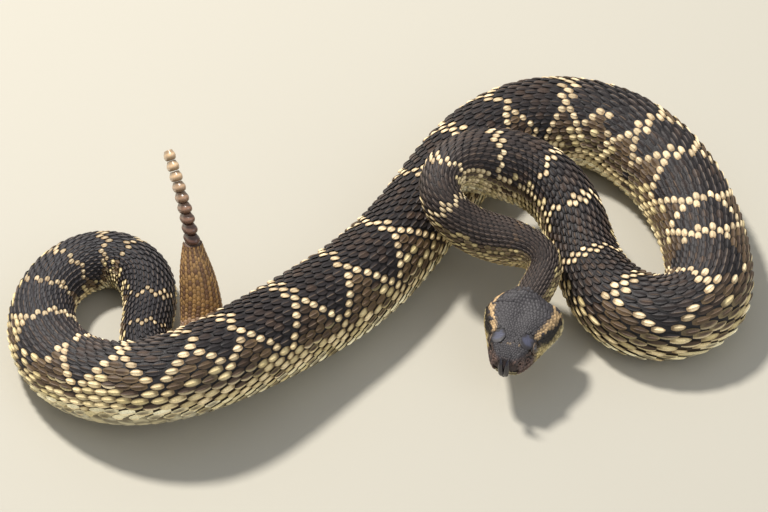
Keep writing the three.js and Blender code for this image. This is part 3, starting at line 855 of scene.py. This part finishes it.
# Markings of the head
def head_colours(point, luck):
    """Colours of the head at these points. luck, from 0 to 1, mottles them."""
    place, left, rise = head_frame(point)
    side = np.abs(left)
    above = rise - mouth_at(place)
    tone = mix(CROWN, CROWN * 0.62, 0.8 * luck)
    # tan cheeks behind the eyes under the dark crown, and a dark band from the eye over them
    behind_eye = smooth(13.5, 15.5, place)
    crown_edge = 8.0 - 0.03 * np.maximum(place - 18, 0)**1.25
    cheek = smooth(crown_edge + 0.35, crown_edge - 0.35, rise) * behind_eye * smooth(7.0, 9.5, side)
    tone = mix(tone, mix(TAN, TAN * 0.5, luck), cheek * (luck > 0.12))
    band_top = crown_edge - 1.35 - 0.07 * np.maximum(place - 16, 0)
    band = behind_eye * smooth(band_top + 0.35, band_top - 0.35, rise) * smooth(35, 32, place)
    tone = mix(tone, EYE_BAND * (0.7 + 0.6 * luck)[..., None], band * (side > 6))
    # brown and pink snout, dark round the heat pit
    front = smooth(13.5, 11, place) * smooth(6.2, 4.8, rise)
    tone = mix(tone, mix(SNOUT, SNOUT_PINK, 0.8 * luck), front)
    around_pit = bell((place, 6.6, 2.6), (above, 4.0, 1.5))
    tone = mix(tone, EYE_BAND, np.clip(1.3 * around_pit - 0.1, 0, 1))
    # yellow patch under the eye, and a faint line across in front of the brow plates
    patch = bell((place, 13.6, 3.6), (above, 2.2, 2.2))
    tone = mix(tone, mix(LIP_YELLOW, LIP_YELLOW * 0.6, luck), np.clip(1.8 * patch - 0.25, 0, 1))
    brow_line = bell((place - 8.2, 0.12 * side, 0.55)) * (rise > 5.5)
    tone = mix(tone, TAN * 0.7, 0.3 * brow_line * (luck > 0.4))
    # yellow lips, pale chin, and a pale line low on each side of the nape
    lip = smooth(1.1, 0.5, above) * smooth(13, 16, place)
    tone = mix(tone, LIP_YELLOW, lip * (above > 0))
    chin = smooth(0.1, -0.5, above)
    tone = mix(tone, mix(CHIN, CHIN * 0.75, luck), chin)
    nape_line = smooth(36, 41, place) * smooth(8, 3, rise) * (chin < 0.5)
    return mix(tone, TAN * 0.8, 0.6 * nape_line)


# Finishes
def add_socket(group, name, kind, direction, value=None):
    item = group.interface.new_socket(name=name, in_out=direction, socket_type=kind)
    if value is not None:
        item.default_value = value


def node(tree, kind, inputs=(), **settings):
    """A shader node with its settings and the values of the inputs that nothing is linked to."""
    made = tree.nodes.new(kind)
    for key, value in settings.items():
        setattr(made, key, value)
    for key, value in dict(inputs).items():
        made.inputs[key].default_value = value
    return made


def wire(tree, *pairs):
    """Links an output socket to an input socket, pair by pair."""
    for output, into in pairs:
        tree.links.new(output, into)


def scale_grain_group():
    """Fine grain of dry skin: a mottled colour, a height for the bump and a changing roughness."""
    group = bpy.data.node_groups.new("scale_grain", "ShaderNodeTree")
    add_socket(group, "Color", "NodeSocketColor", "INPUT", (0.5, 0.5, 0.5, 1))
    add_socket(group, "Grain size", "NodeSocketFloat", "INPUT", 900.0)
    add_socket(group, "Mottle", "NodeSocketFloat", "INPUT", 0.3)
    add_socket(group, "Roughness", "NodeSocketFloat", "INPUT", 0.45)
    add_socket(group, "Color", "NodeSocketColor", "OUTPUT")
    add_socket(group, "Height", "NodeSocketFloat", "OUTPUT")
    add_socket(group, "Roughness", "NodeSocketFloat", "OUTPUT")
    given = node(group, "NodeGroupInput").outputs
    result = node(group, "NodeGroupOutput").inputs
    place = node(group, "ShaderNodeTexCoord").outputs["Object"]
    fine = node(group, "ShaderNodeTexNoise", {"Detail": 3.0})
    broad = node(group, "ShaderNodeTexNoise", {"Scale": 140.0, "Detail": 2.0})
    both = node(group, "ShaderNodeMath", {1: 0.5}, operation="MULTIPLY_ADD")
    spread = node(group, "ShaderNodeMapRange", {"From Min": 0.3, "From Max": 1.0})
    lowest = node(group, "ShaderNodeMath", {0: 1.0}, operation="SUBTRACT")
    highest = node(group, "ShaderNodeMath", {0: 1.0}, operation="ADD")
    tinted = node(group, "ShaderNodeVectorMath", operation="SCALE")
    rough = node(group, "ShaderNodeMath", {1: 0.22}, operation="MULTIPLY_ADD")
    wire(
        group,
        (place, fine.inputs["Vector"]),
        (place, broad.inputs["Vector"]),
        (given["Grain size"], fine.inputs["Scale"]),
        (broad.outputs["Fac"], both.inputs[0]),
        (fine.outputs["Fac"], both.inputs[2]),
        (both.outputs[0], spread.inputs["Value"]),
        (given["Mottle"], lowest.inputs[1]),
        (given["Mottle"], highest.inputs[1]),
        (lowest.outputs[0], spread.inputs["To Min"]),
        (highest.outputs[0], spread.inputs["To Max"]),
        (given["Color"], tinted.inputs[0]),
        (spread.outputs["Result"], tinted.inputs["Scale"]),
        (fine.outputs["Fac"], rough.inputs[0]),
        (given["Roughness"], rough.inputs[2]),
        (tinted.outputs[0], result["Color"]),
        (fine.outputs["Fac"], result["Height"]),
        (rough.outputs[0], result["Roughness"]),
    )
    return group


SCALE_GRAIN = scale_grain_group()


def painted_finish(name, roughness, grain, mottle, bump, specular=0.5, coat=0.0):
    """A finish whose colour is painted on the points, broken up by fine grain."""
    material = bpy.data.materials.new(name)
    material.use_nodes = True
    tree = material.node_tree
    shader = tree.nodes["Principled BSDF"].inputs
    paint = node(tree, "ShaderNodeAttribute", attribute_name="tint")
    grained = node(tree, "ShaderNodeGroup", node_tree=SCALE_GRAIN)
    grained.inputs["Grain size"].default_value = grain
    grained.inputs["Mottle"].default_value = mottle
    grained.inputs["Roughness"].default_value = roughness
    raised = node(tree, "ShaderNodeBump", {"Strength": bump, "Distance": 0.0003})
    wire(
        tree,
        (paint.outputs["Color"], grained.inputs["Color"]),
        (grained.outputs["Color"], shader["Base Color"]),
        (grained.outputs["Roughness"], shader["Roughness"]),
        (grained.outputs["Height"], raised.inputs["Height"]),
        (raised.outputs["Normal"], shader["Normal"]),
    )
    shader["Specular IOR Level"].default_value = specular
    shader["Coat Weight"].default_value = coat
    shader["Coat Roughness"].default_value = 0.2
    return material


SCALE_FINISH = painted_finish("keeled_scales", 0.44, 1500.0, 0.34, 0.6, specular=0.32)
SKIN_FINISH = painted_finish("skin_between_scales", 0.6, 1200.0, 0.3, 0.6)
BELLY_FINISH = painted_finish("belly_plates", 0.3, 700.0, 0.12, 0.2)
HEAD_FINISH = painted_finish("head_scales", 0.44, 1800.0, 0.34, 0.5, specular=0.4)
PLATE_FINISH = painted_finish("smooth_head_plates", 0.42, 1500.0, 0.3, 0.5, specular=0.35)
TAIL_FINISH = painted_finish("tail_scales", 0.36, 1600.0, 0.22, 0.4)
EYE_FINISH = painted_finish("eye", 0.05, 900.0, 0.25, 0.02, specular=0.6, coat=1.0)
TONGUE_FINISH = painted_finish("tongue", 0.14, 1200.0, 0.2, 0.1, specular=0.6, coat=0.6)
RATTLE_FINISH = painted_finish("rattle_horn", 0.26, 700.0, 0.3, 0.35, specular=0.6, coat=0.3)


# Skin
def push_out_of(points, centre, radius):
    """Moves the points that lie inside a ball out of the way, towards the inside of the head."""
    offset = points - centre
    apart = np.linalg.norm(offset, axis=-1, keepdims=True)
    inward = unit(in_head(head_frame(centre)[0], 0, 3) - centre)
    sunk = centre + unit(unit(offset) + 1.6 * inward) * radius
    return np.where(apart < radius, sunk, points)


def make_skin():
    """One skin over head, body and tail, creased at the mouth and sunk behind the eyes."""
    snout = np.linspace(SNOUT_START, SNOUT_END, SKIN_RINGS["snout"], endpoint=False)
    face = np.linspace(SNOUT_END, HEAD_LENGTH, SKIN_RINGS["face"], endpoint=False)
    body = np.linspace(0, BODY_END, SKIN_RINGS["body"])
    places = np.concatenate([snout - HEAD_LENGTH, face - HEAD_LENGTH, body])
    angles = (np.linspace(0, 360, SKIN_SIDES, endpoint=False) + 180) % 360 - 180
    s, phi = np.meshgrid(places, angles, indexing="ij")
    base = surface(s, phi)
    place, _, rise = head_frame(base)
    above = rise - mouth_at(place)
    on_head = s < 0
    on_mouth = on_head & (place < JAW_HINGE)
    rings = surface(s, phi, -SKIN_DEPTH - bell((above, 0, 0.4)) * on_mouth)
    for side in SIDES.values():
        rings = push_out_of(rings, eye_centre(side), EYE["radius"] + 0.15)
    painted = skin_colours(s, phi)
    luck = np.random.default_rng(SEEDS["skin"]).random(s.shape)
    painted[on_head] = (head_colours(base, luck) * 0.5)[on_head]
    # painted shade along the crease where the lips meet
    painted[on_mouth & (np.abs(above) < 0.7)] = MOUTH_CREASE_SHADE
    strip = (s + HEAD_LENGTH + 1) / (BODY_END + HEAD_LENGTH + 2) * UNWRAP_STRIPS
    uv = np.stack([strip % 1, (np.floor(strip) + (phi + 180) / 360) / UNWRAP_STRIPS], -1)
    skin = tube_piece("snake_skin", rings, SKIN_FINISH, painted, uv)
    place_piece(skin, "body_scales", "head", "lower_jaw", *BODY_NODES, "tail")


# Scales of the back and sides
def body_lattice(low_count, high_count):
    """Counts and rows of the scales between two counts. Every other row is set half a scale back."""
    counts, rows = [], []
    for row in range(-ROWS, ROWS + 1):
        offset = 0.5 if row % 2 else 0.0
        line = np.arange(math.ceil(low_count - offset) + offset, high_count, 1.0)
        counts.append(line)
        rows.append(np.full(len(line), row))
    return np.concatenate(counts), np.concatenate(rows)


def nodes_between(low, high):
    """The solids of the body that lie between two distances from the nape."""
    starts = [0] + NODE_ENDS[:-1]
    return [name for name, start, end in zip(BODY_NODES, starts, NODE_ENDS) if end > low and start < high]


def make_back_scales():
    """Keeled scales over the back and sides, in several pieces along the body."""
    edges = np.linspace(to_count(0) - 1, to_count(TAIL_START), BACK_PIECES + 1)
    rng = np.random.default_rng(SEEDS["back"])
    for k in range(BACK_PIECES):
        count, row = body_lattice(edges[k], edges[k + 1])
        centre, rim, pale, lower_colour, lower_share = body_colours(count, row, rng)
        distance = to_distance(count) + np.minimum(count, 0) * pitch_at(0)
        jitter = rng.normal(0, 1, (len(count), 3))
        pitch = pitch_at(np.maximum(distance, 0))
        row_angle = row_angle_at(distance)
        angle = roll_at(distance) + row_angle * row + 0.35 * jitter[:, 0]
        distance = distance + 0.05 * pitch * jitter[:, 1]
        stretch = np.linalg.norm(surface(distance + 1, angle) - surface(distance - 1, angle), axis=1) / 2
        length = pitch * (1 + 0.03 * jitter[:, 2])
        length = length * np.where(pale, SCALE_LENGTHS["pale"], SCALE_LENGTHS["dark"])
        length = length * np.maximum(stretch, 1)**BEND_POWER
        width = np.where(pale, SCALE_WIDTHS["pale"], SCALE_WIDTHS["dark"])
        width = row_angle * np.where(np.abs(row) == ROWS, SCALE_WIDTHS["lowest"], width)
        laid = lay_scales(
            KEELED_SCALE, distance, angle, length, width, pitch / 5, centre, rim,
            sheen=rng.random(len(count)), lower_colour=lower_colour, lower_share=lower_share,
            down=np.sign(row),
        )
        name, span = f"back_scales_{k + 1}", (distance.min(), distance.max())
        piece = coat_piece(name, KEELED_SCALE, laid, distance, angle, span, SCALE_FINISH)
        place_piece(piece, "body_scales", *nodes_between(*span))


def make_tail_scales():
    """Keeled scales all round the tail."""
    rng = np.random.default_rng(SEEDS["tail"])
    places = np.arange(TAIL_START - 2, BODY_END - 0.6, TAIL_PITCH)
    s, row = np.meshgrid(places, np.arange(-TAIL_ROWS, TAIL_ROWS + 1), indexing="ij")
    s = (s + 0.5 * TAIL_PITCH * (row % 2)).ravel()
    row = row.ravel()
    centre, rim = tail_colours(s, row, rng)
    angle = roll_at(s) + TAIL_ROW_ANGLE * row + rng.normal(0, 0.4, len(s))
    length = TAIL_PITCH * TAIL_SCALE["length"] * (1 + 0.04 * rng.normal(0, 1, len(s)))
    width = TAIL_ROW_ANGLE * TAIL_SCALE["width"]
    laid = lay_scales(KEELED_SCALE, s, angle, length, width, TAIL_SCALE["height"], centre, rim)
    piece = coat_piece("tail_scales", KEELED_SCALE, laid, s, angle, (s.min(), s.max()), TAIL_FINISH)
    place_piece(piece, "tail_scales", "tail")


def make_belly_plates():
    """Broad plates under neck, belly and tail, one to each step of the lattice, blotted at their ends."""
    distance = to_distance(np.arange(to_count(2), to_count(BODY_END - 2), 1.0))
    rng = np.random.default_rng(SEEDS["belly"])
    centre = mix(BELLY, FLANK_RIM, 0.5 * rng.random(len(distance)))
    centre = mix(centre, mix(TAIL_GOLD, TAIL_PINK, 0.5), smooth(*TAIL_BLEND, distance))
    half_width = 180 + BELLY_OVERLAP - (ROWS + 0.5) * row_angle_at(distance)
    pitch = pitch_at(distance)
    roll = roll_at(distance)
    points, quads, tris, tint = lay_scales(
        BELLY_PLATE, distance, 180 + roll, pitch * PLATE_LENGTH, half_width, pitch / 6, centre, centre * 0.6)
    out = np.tile(np.abs(BELLY_PLATE.across), len(distance))
    blot = rng.random(len(out)) < 0.12 + 0.5 * out**2
    laid = points, quads, tris, mix(tint, FLANK, 0.75 * blot * smooth(0.15, 0.8, out))
    span = (-1, BODY_END + 1)
    piece = coat_piece("belly_plates", BELLY_PLATE, laid, distance, roll, span, BELLY_FINISH)
    place_piece(piece, "body_scales", *BODY_NODES, "tail")


# Head
def head_lattice():
    """Places, angles and sizes of the fine head scales, ring by ring from the snout."""
    sweep = np.linspace(-180, 180, 361)
    back = HEAD_SCALES_START
    places, angles, sizes = [], [], []
    while back < HEAD_LENGTH + 1.5:
        size = np.interp(back, *HEAD_SCALE_SIZES)
        ring = head_points(back, sweep)
        travel = np.concatenate([[0], np.cumsum(np.linalg.norm(np.diff(ring, axis=0), axis=1))])
        travel = travel - travel[180]
        across = size * HEAD_SCALE_STEPS["across"]
        steps = np.arange(0.5 * (len(places) % 2), travel[-1] / across)
        ring_angles = np.interp(np.concatenate([-steps[steps > 0], steps]) * across, travel, sweep)
        angles.append(ring_angles)
        places.append(np.full(len(ring_angles), back))
        sizes.append(np.full(len(ring_angles), size))
        back += size * HEAD_SCALE_STEPS["back"]
    return np.concatenate(places), np.concatenate(angles), np.concatenate(sizes)


def bare_of_scales(point):
    """Points of the head without fine scales: lips, eyes, nostrils, pits and under the brow plates."""
    place, left, rise = head_frame(point)
    above = rise - mouth_at(place)
    across = (np.abs(left) - BROW["out"]) / (BROW["width"] * BROW_COVER)
    along = (place - BROW["back"]) / (BROW["length"] * BROW_COVER)
    bare = (across**2 + along**2 < 1) & (rise > 5)
    bare |= (place < JAW_HINGE - 1) & (above > -2.0) & (above < 2.1)
    for opening in (EYE, NOSTRIL, HEAT_PIT):
        for side in SIDES.values():
            middle = in_head(opening["back"], side * opening["out"], opening["up"])
            bare |= np.linalg.norm(point - middle, axis=1) < opening["radius"] + 0.55
    return bare


def make_head_scales():
    """Fine keeled scales over the crown, cheeks and throat, smallest on the snout."""
    rng = np.random.default_rng(SEEDS["head"])
    places, angles, sizes = head_lattice()
    places = places + 0.14 * sizes * rng.normal(0, 1, len(places))
    per_degree = head_points(places, angles + 1) - head_points(places, angles - 1)
    ring_size = np.linalg.norm(per_degree, axis=1) / 2
    angles = angles + 0.1 * sizes * rng.normal(0, 1, len(angles)) / ring_size
    keep = ~bare_of_scales(head_points(places, angles))
    places, angles, sizes, ring_size = (v[keep] for v in (places, angles, sizes, ring_size))
    centre = head_colours(head_points(places, angles), rng.random(len(places)))
    throat = np.abs(angles) > THROAT_ANGLE
    width = sizes * 0.56 / ring_size * np.where(throat, 1.1, 1.0)
    length = sizes * np.where(throat, 1.5, 1.25)
    distance = places - HEAD_LENGTH
    laid = lay_scales(GRAIN_SCALE, distance, angles, length, width, sizes * 0.62, centre, centre * 0.5)
    span = (-HEAD_LENGTH - 1, 4)
    piece = coat_piece("head_scales", GRAIN_SCALE, laid, distance, angles, span, HEAD_FINISH, sharp=60)
    place_piece(piece, "head_scales", "head", "lower_jaw")


def lip_plate(gathered, start, end, low, high, side, colour):
    """One plate on the side of the head between two distances and two heights above the mouth line."""
    u, v = np.meshgrid(np.linspace(0, 1, 7), np.linspace(0, 1, 6))
    narrowed = 0.5 + (u - 0.5) * (1 - 0.06 * (2 * v - 1)**4)
    back = (start + (end - start) * narrowed).ravel()
    rise = mouth_at(back) + (low + (high - low) * v * (1 - 0.05 * (2 * u - 1)**4)).ravel()
    angle = np.array([angle_at_rise(b, r, side) for b, r in zip(back, rise)])
    bulge = ((1 - (2 * u - 1)**4) * (1 - (2 * v - 1)**4)).ravel()
    outer = surface(back - HEAD_LENGTH, angle, 0.07 + 0.3 * bulge)
    inner = surface(back - HEAD_LENGTH, angle, -0.75)
    top = grid_faces(*u.shape)
    edge = grid_edge(*u.shape)
    following = np.roll(edge, -1)
    wall = np.stack([following + u.size, edge + u.size, edge, following], -1)
    faces = np.concatenate([top[:, ::-1], top + u.size, wall])
    if side < 0:
        faces = faces[:, ::-1]
    rim = np.maximum(np.abs(2 * u - 1)**5, np.abs(2 * v - 1)**5).ravel()
    tint = mix(colour, colour * 0.55, rim)
    uv_place = (start / HEAD_LENGTH, 0.5 + side * (0.25 + 0.02 * low))
    gathered.add(np.concatenate([outer, inner]), faces, [], np.concatenate([tint, tint]), uv_place)


def upper_lip_colour(middle, side, rng):
    """The face's own colour in front, then yellow that darkens towards the jaw hinge."""
    point = head_points(middle, angle_at_rise(middle, mouth_at(middle) + 1.2, side))
    colour = head_colours(point[None], np.array([rng.random()]))[0]
    if middle > 10.5:
        dark = 0.1 + 0.4 * smooth(17, 21, middle) + 0.2 * rng.random()
        colour = mix(LIP_YELLOW, EYE_BAND * 1.6, dark)
    return colour


def lower_lip_colour(start, rng):
    """Pale like the chin, with a dark plate here and there, brownish at the snout."""
    colour = mix(CHIN, LIP_YELLOW * 0.7, 0.6 * rng.random())
    if rng.random() < 0.3:
        colour = mix(colour, EYE_BAND * 2, 0.6)
    return mix(SNOUT_PINK * 0.7, colour, smooth(6, 13, start))


def make_lips():
    """A row of plates along the upper lip and one along the lower, on both sides."""
    gathered = Gathered()
    rng = np.random.default_rng(SEEDS["lips"])
    upper = np.array(LIP_SEAMS)
    lower = upper[:-1] * 0.99 - 0.3
    for side in SIDES.values():
        for start, end in zip(upper[:-1] + LIP_GAP, upper[1:] - LIP_GAP):
            middle = (start + end) / 2
            tall = np.interp(middle, LIP_PLACES, UPPER_LIP_HEIGHTS)
            lip_plate(gathered, start, end, 0.12, tall, side, upper_lip_colour(middle, side, rng))
        for start, end in zip(lower[:-1], lower[1:]):
            tall = np.interp(start, LIP_PLACES, LOWER_LIP_HEIGHTS)
            colour = lower_lip_colour(start, rng)
            lip_plate(gathered, start + LIP_GAP, end - LIP_GAP, -tall, -0.15, side, colour)
    place_piece(gathered.piece("lip_plates", PLATE_FINISH, sharp=50), "jaw_scales", "head", "lower_jaw")


def ball(rows, sides):
    """Unit rings of a ball, from near its top to near its foot: x, y and z."""
    down = np.linspace(0, math.pi, rows + 2)[1:-1][:, None]
    around = np.linspace(0, 2 * math.pi, sides, endpoint=False)[None]
    z = np.cos(down) * np.ones_like(around)
    return np.sin(down) * np.cos(around), np.sin(down) * np.sin(around), z


def turned(rings, side):
    """Rings run the other way round on the left side, so that their faces still point out."""
    return rings[:, ::-1] if side > 0 else rings


def make_brows():
    """The large plate over each eye, a long dome with a sharp outer edge."""
    x, y, z = ball(22, 40)
    along = y * BROW["length"] * (1 - 0.12 * np.abs(x))
    across = x * BROW["width"] * (1 - 0.1 * y)
    height = np.sign(z) * np.abs(z)**0.5 * BROW["thickness"]
    height = height - 0.3 * across - 0.035 * (along + 1.0)**2 * (along < -1.0)
    height = height + 0.06 * np.sin(along * 4.6 + 2.0 * x) * (z > 0)
    rim = smooth(0.35, 0.9, np.hypot(x, y) + 0.12 * np.sin(7 * y + 3 * x))
    # painted sheen: bluish grey in the middle of each plate, fading to a dark tone at its rim
    tint = mix(BROW_SHEEN_GREY, CROWN * 0.5, rim)
    uv = np.stack([0.5 + 0.4 * x, 0.5 + 0.4 * y], -1)
    for name, side in SIDES.items():
        rings = in_head(BROW["back"] + along, side * (BROW["out"] + across), BROW["up"] - 0.1 + height)
        rings = turned(rings, side)
        piece = tube_piece(f"brow_plate_{name}", rings, PLATE_FINISH, turned(tint, side), uv)
        place_piece(piece, "head_scales", "head")


def make_eyes():
    """Glossy eyes with an upright slit pupil."""
    x, y, z = ball(30, 48)
    slit = (np.abs(x) < 0.2 * np.sqrt(np.clip(1 - (y / 0.75)**2, 0, 1))) & (z > 0)
    iris = mix(IRIS, IRIS_EDGE, smooth(0.25, 0.8, np.hypot(x, y)))
    iris = mix(iris, IRIS_BAND, 0.6 * (np.abs(y) < 0.3))
    tint = np.where(slit[..., None], PUPIL, iris)
    for name, side in SIDES.items():
        offset = side * HEAD_LEFT * z[..., None] + HEAD_BACK * x[..., None] + UP * y[..., None]
        rings = eye_centre(side) + EYE["radius"] * offset
        piece = tube_piece(f"eyeball_{name}", turned(rings, side), EYE_FINISH, turned(tint, side))
        place_piece(piece, "eye", f"eye_{name}")


def rays_round(out, count):
    """Directions in a circle square to this one."""
    first = unit(np.cross(out, UP))
    second = np.cross(out, first)
    around = np.linspace(0, 2 * math.pi, count, endpoint=False)
    return first * np.cos(around)[:, None] + second * np.sin(around)[:, None]


def skin_ring(gathered, centre, out, radius, thick, colour, uv_place, beads):
    """A ring of raised skin round an eye or a hole, beaded like small scales."""
    around = np.linspace(0, 2 * math.pi, RING_STEPS, endpoint=False)
    small = np.linspace(0, 2 * math.pi, RING_SIDES, endpoint=False)
    swell = (0.8 + 0.3 * np.abs(np.sin(beads * around / 2))**0.6)[:, None]
    reach = radius + thick * swell * np.cos(small)
    lift = thick * swell * np.sin(small)
    points = centre + rays_round(out, RING_STEPS)[:, None] * reach[..., None] + out * lift[..., None]
    faces = grid_faces(RING_STEPS, RING_SIDES, closed=True, looped=True)[:, [0, 3, 2, 1]]
    gathered.add(points.reshape(-1, 3), faces, [], colour, uv_place)


def dark_cup(gathered, centre, out, radius, uv_place):
    """A cup sunk in the face and closed behind, painted near black as the shade inside the hole."""
    ray = rays_round(out, CUP_SIDES)
    points = np.concatenate([centre + ray * radius * wide + out * lift for wide, lift in CUP_PROFILE])
    faces = grid_faces(len(CUP_PROFILE), CUP_SIDES, closed=True, looped=True)
    gathered.add(points, faces, [], HOLE_SHADE, uv_place)


def make_face_openings():
    """Beaded rims round the eyes, and rims and cups for the nostrils and heat pits, the cups painted near
    black as shade.
    """
    gathered = Gathered()
    for side in SIDES.values():
        out = side * HEAD_LEFT + 0.1 * UP
        middle = eye_centre(side) + out * 0.8
        rim_tone = mix(SNOUT, TAN, 0.12)
        across = 0.5 + 0.2 * side
        skin_ring(gathered, middle, unit(out), EYE["radius"] - 0.1, 0.34, rim_tone, (0.3, across), 16)
        for hole, where in ((NOSTRIL, 0.1), (HEAT_PIT, 0.2)):
            angle = angle_at_rise(hole["back"], hole["up"], side)
            spot, facing = head_surface(hole["back"], angle)
            middle = spot + facing * 0.15
            skin_ring(gathered, middle, facing, hole["radius"], 0.3, SNOUT_PINK * 0.6, (where, across), 7)
            dark_cup(gathered, middle, facing, hole["radius"], (where, across - 0.05))
    place_piece(gathered.piece("eye_rims_and_pits", PLATE_FINISH), "head_scales", "head")


# Tongue
def smooth_path(rows, steps):
    """A smooth curve through rows of numbers, at even steps."""
    rows = np.array(rows, float)
    table = np.column_stack([np.linspace(0, 1, len(rows)), rows])
    places = np.linspace(0, 1, steps)
    return np.stack([read_table(table, places, c) for c in range(1, table.shape[1])], -1)


def rod_rings(rows, radii, flatness, sides=20, steps=28):
    """Rings of a soft rod along a path of the head's frame."""
    centre = in_head(*smooth_path(rows, steps).T)
    along = unit(np.gradient(centre, axis=0))
    back = unit(np.cross(HEAD_LEFT, along))
    radius = smooth_path(np.array(radii)[:, None], steps)[:, :, None]
    angle = np.linspace(0, 2 * math.pi, sides, endpoint=False)[None, :, None]
    wide = radius * np.sin(angle) * HEAD_LEFT
    deep = radius * flatness * np.cos(angle) * back[:, None]
    return centre[:, None] + wide + deep


def make_tongue():
    """A flat stem out of the mouth and two tines that curl up."""
    gathered = Gathered()
    rods = [rod_rings(TONGUE_STEM, TONGUE_STEM_RADII, 0.72)]
    for side in SIDES.values():
        rods.append(rod_rings([[b, side * l, r] for b, l, r in TINE], TINE_RADII, 0.85))
    for rings in rods:
        gathered.add(*closed_tube(rings), TONGUE_BLACK, (0.5, 0.5))
    place_piece(gathered.piece("forked_tongue", TONGUE_FINISH), "tongue", "tongue")


# Rattle
def make_rattle():
    """Horn segments on a gently bent line, each with a bulge and a groove down its middle."""
    f = np.linspace(0, 1, 400)[:, None]
    line = (1 - f)**2 * RATTLE_FOOT + 2 * f * (1 - f) * RATTLE_BEND + f**2 * RATTLE_TIP
    travel = np.concatenate([[0], np.cumsum(np.linalg.norm(np.diff(line, axis=0), axis=1))])
    line_along = unit(np.gradient(line, axis=0))
    pitch = travel[-1] / RATTLE_SEGMENTS
    step = np.linspace(0, 1, RATTLE_RINGS)
    bulge = read_table(SEGMENT_PROFILE, step, 1)
    angle = np.linspace(0, 2 * math.pi, RATTLE_SIDES, endpoint=False)
    dent = 1 - LOBE_GROOVE * np.abs(np.sin(angle))**6 * smooth(0.05, 0.3, step)[:, None]
    for k in range(RATTLE_SEGMENTS):
        at = k * pitch + step * (pitch - RATTLE_GAP)
        centre = np.stack([np.interp(at, travel, v) for v in line.T], -1)
        along = unit(np.stack([np.interp(at, travel, v) for v in line_along.T], -1))
        side = unit(np.cross(along, UP))
        back = unit(np.cross(side, along))
        share = at / travel[-1]
        wide = (np.interp(share, [0, 1], RATTLE_HALF_WIDTH) * bulge)[:, None] * np.sin(angle) * dent
        deep = (np.interp(share, [0, 1], RATTLE_HALF_DEPTH) * bulge)[:, None] * np.cos(angle)
        rings = centre[:, None] + side[:, None] * wide[..., None]
        rings = rings + back[:, None] * deep[..., None]
        tone = mix(RATTLE_ROOT, RATTLE_MIDDLE, smooth(0, 0.45, share))
        tone = mix(tone, RATTLE_END, smooth(0.35, 0.85, share))
        # painted shade in the narrow necks between segments and a painted highlight on each bulge
        tone = mix(tone * 0.6, tone * 1.12, smooth(0.9, 1.02, bulge))
        tint = np.broadcast_to(tone[:, None], rings.shape)
        name = f"rattle_segment_{k + 1}"
        piece = tube_piece(f"{name}_horn", rings, RATTLE_FINISH, tint)
        place_piece(piece, "rattle", name)


# Floor, light and camera
def make_floor():
    mesh = bpy.data.meshes.new("floor")
    form = bmesh.new()
    bmesh.ops.create_grid(form, x_segments=2, y_segments=2, size=FLOOR_HALF_SIZE)
    form.to_mesh(mesh)
    form.free()
    floor = bpy.data.objects.new("floor", mesh)
    bpy.context.scene.collection.objects.link(floor)
    material = bpy.data.materials.new("pale_floor")
    material.use_nodes = True
    shader = material.node_tree.nodes["Principled BSDF"]
    shader.inputs["Base Color"].default_value = (*FLOOR_TONE, 1)
    shader.inputs["Roughness"].default_value = 0.8
    mesh.materials.append(material)


def add_lamp(name, place, size, power, colour):
    """A round soft lamp that faces the middle of the floor."""
    lamp = bpy.data.lights.new(name, "AREA")
    lamp.shape = "DISK"
    lamp.size = size
    lamp.energy = power
    lamp.color = colour
    holder = bpy.data.objects.new(name, lamp)
    bpy.context.scene.collection.objects.link(holder)
    holder.location = place
    direction = -np.array(place) / np.linalg.norm(place)
    yaw = math.atan2(direction[0], -direction[1])
    holder.rotation_euler = (math.acos(-direction[2]), 0, yaw + math.pi)


def make_light():
    for lamp in LAMPS:
        add_lamp(*lamp)
    world = bpy.data.worlds.new("studio")
    world.use_nodes = True
    sky = world.node_tree.nodes["Background"].inputs
    sky["Color"].default_value = SKY["colour"]
    sky["Strength"].default_value = SKY["strength"]
    bpy.context.scene.world = world
    bpy.context.scene.view_settings.view_transform = "Standard"


def make_camera():
    """A long lens that looks down at the snake from the front, as the photo does."""
    data = bpy.data.cameras.new("camera")
    data.lens = LENS
    data.sensor_width = 36
    camera = bpy.data.objects.new("camera", data)
    bpy.context.scene.collection.objects.link(camera)
    tilt = math.radians(VIEW_TILT)
    x, y, z = VIEW_TARGET
    camera.location = (x, y - VIEW_DISTANCE * math.cos(tilt), z + VIEW_DISTANCE * math.sin(tilt))
    camera.rotation_euler = (math.radians(90 - VIEW_TILT), 0, 0)
    bpy.context.scene.camera = camera


make_skin()
make_back_scales()
make_tail_scales()
make_belly_plates()
make_head_scales()
make_lips()
make_brows()
make_eyes()
make_face_openings()
make_tongue()
make_rattle()
make_floor()
make_light()
make_camera()
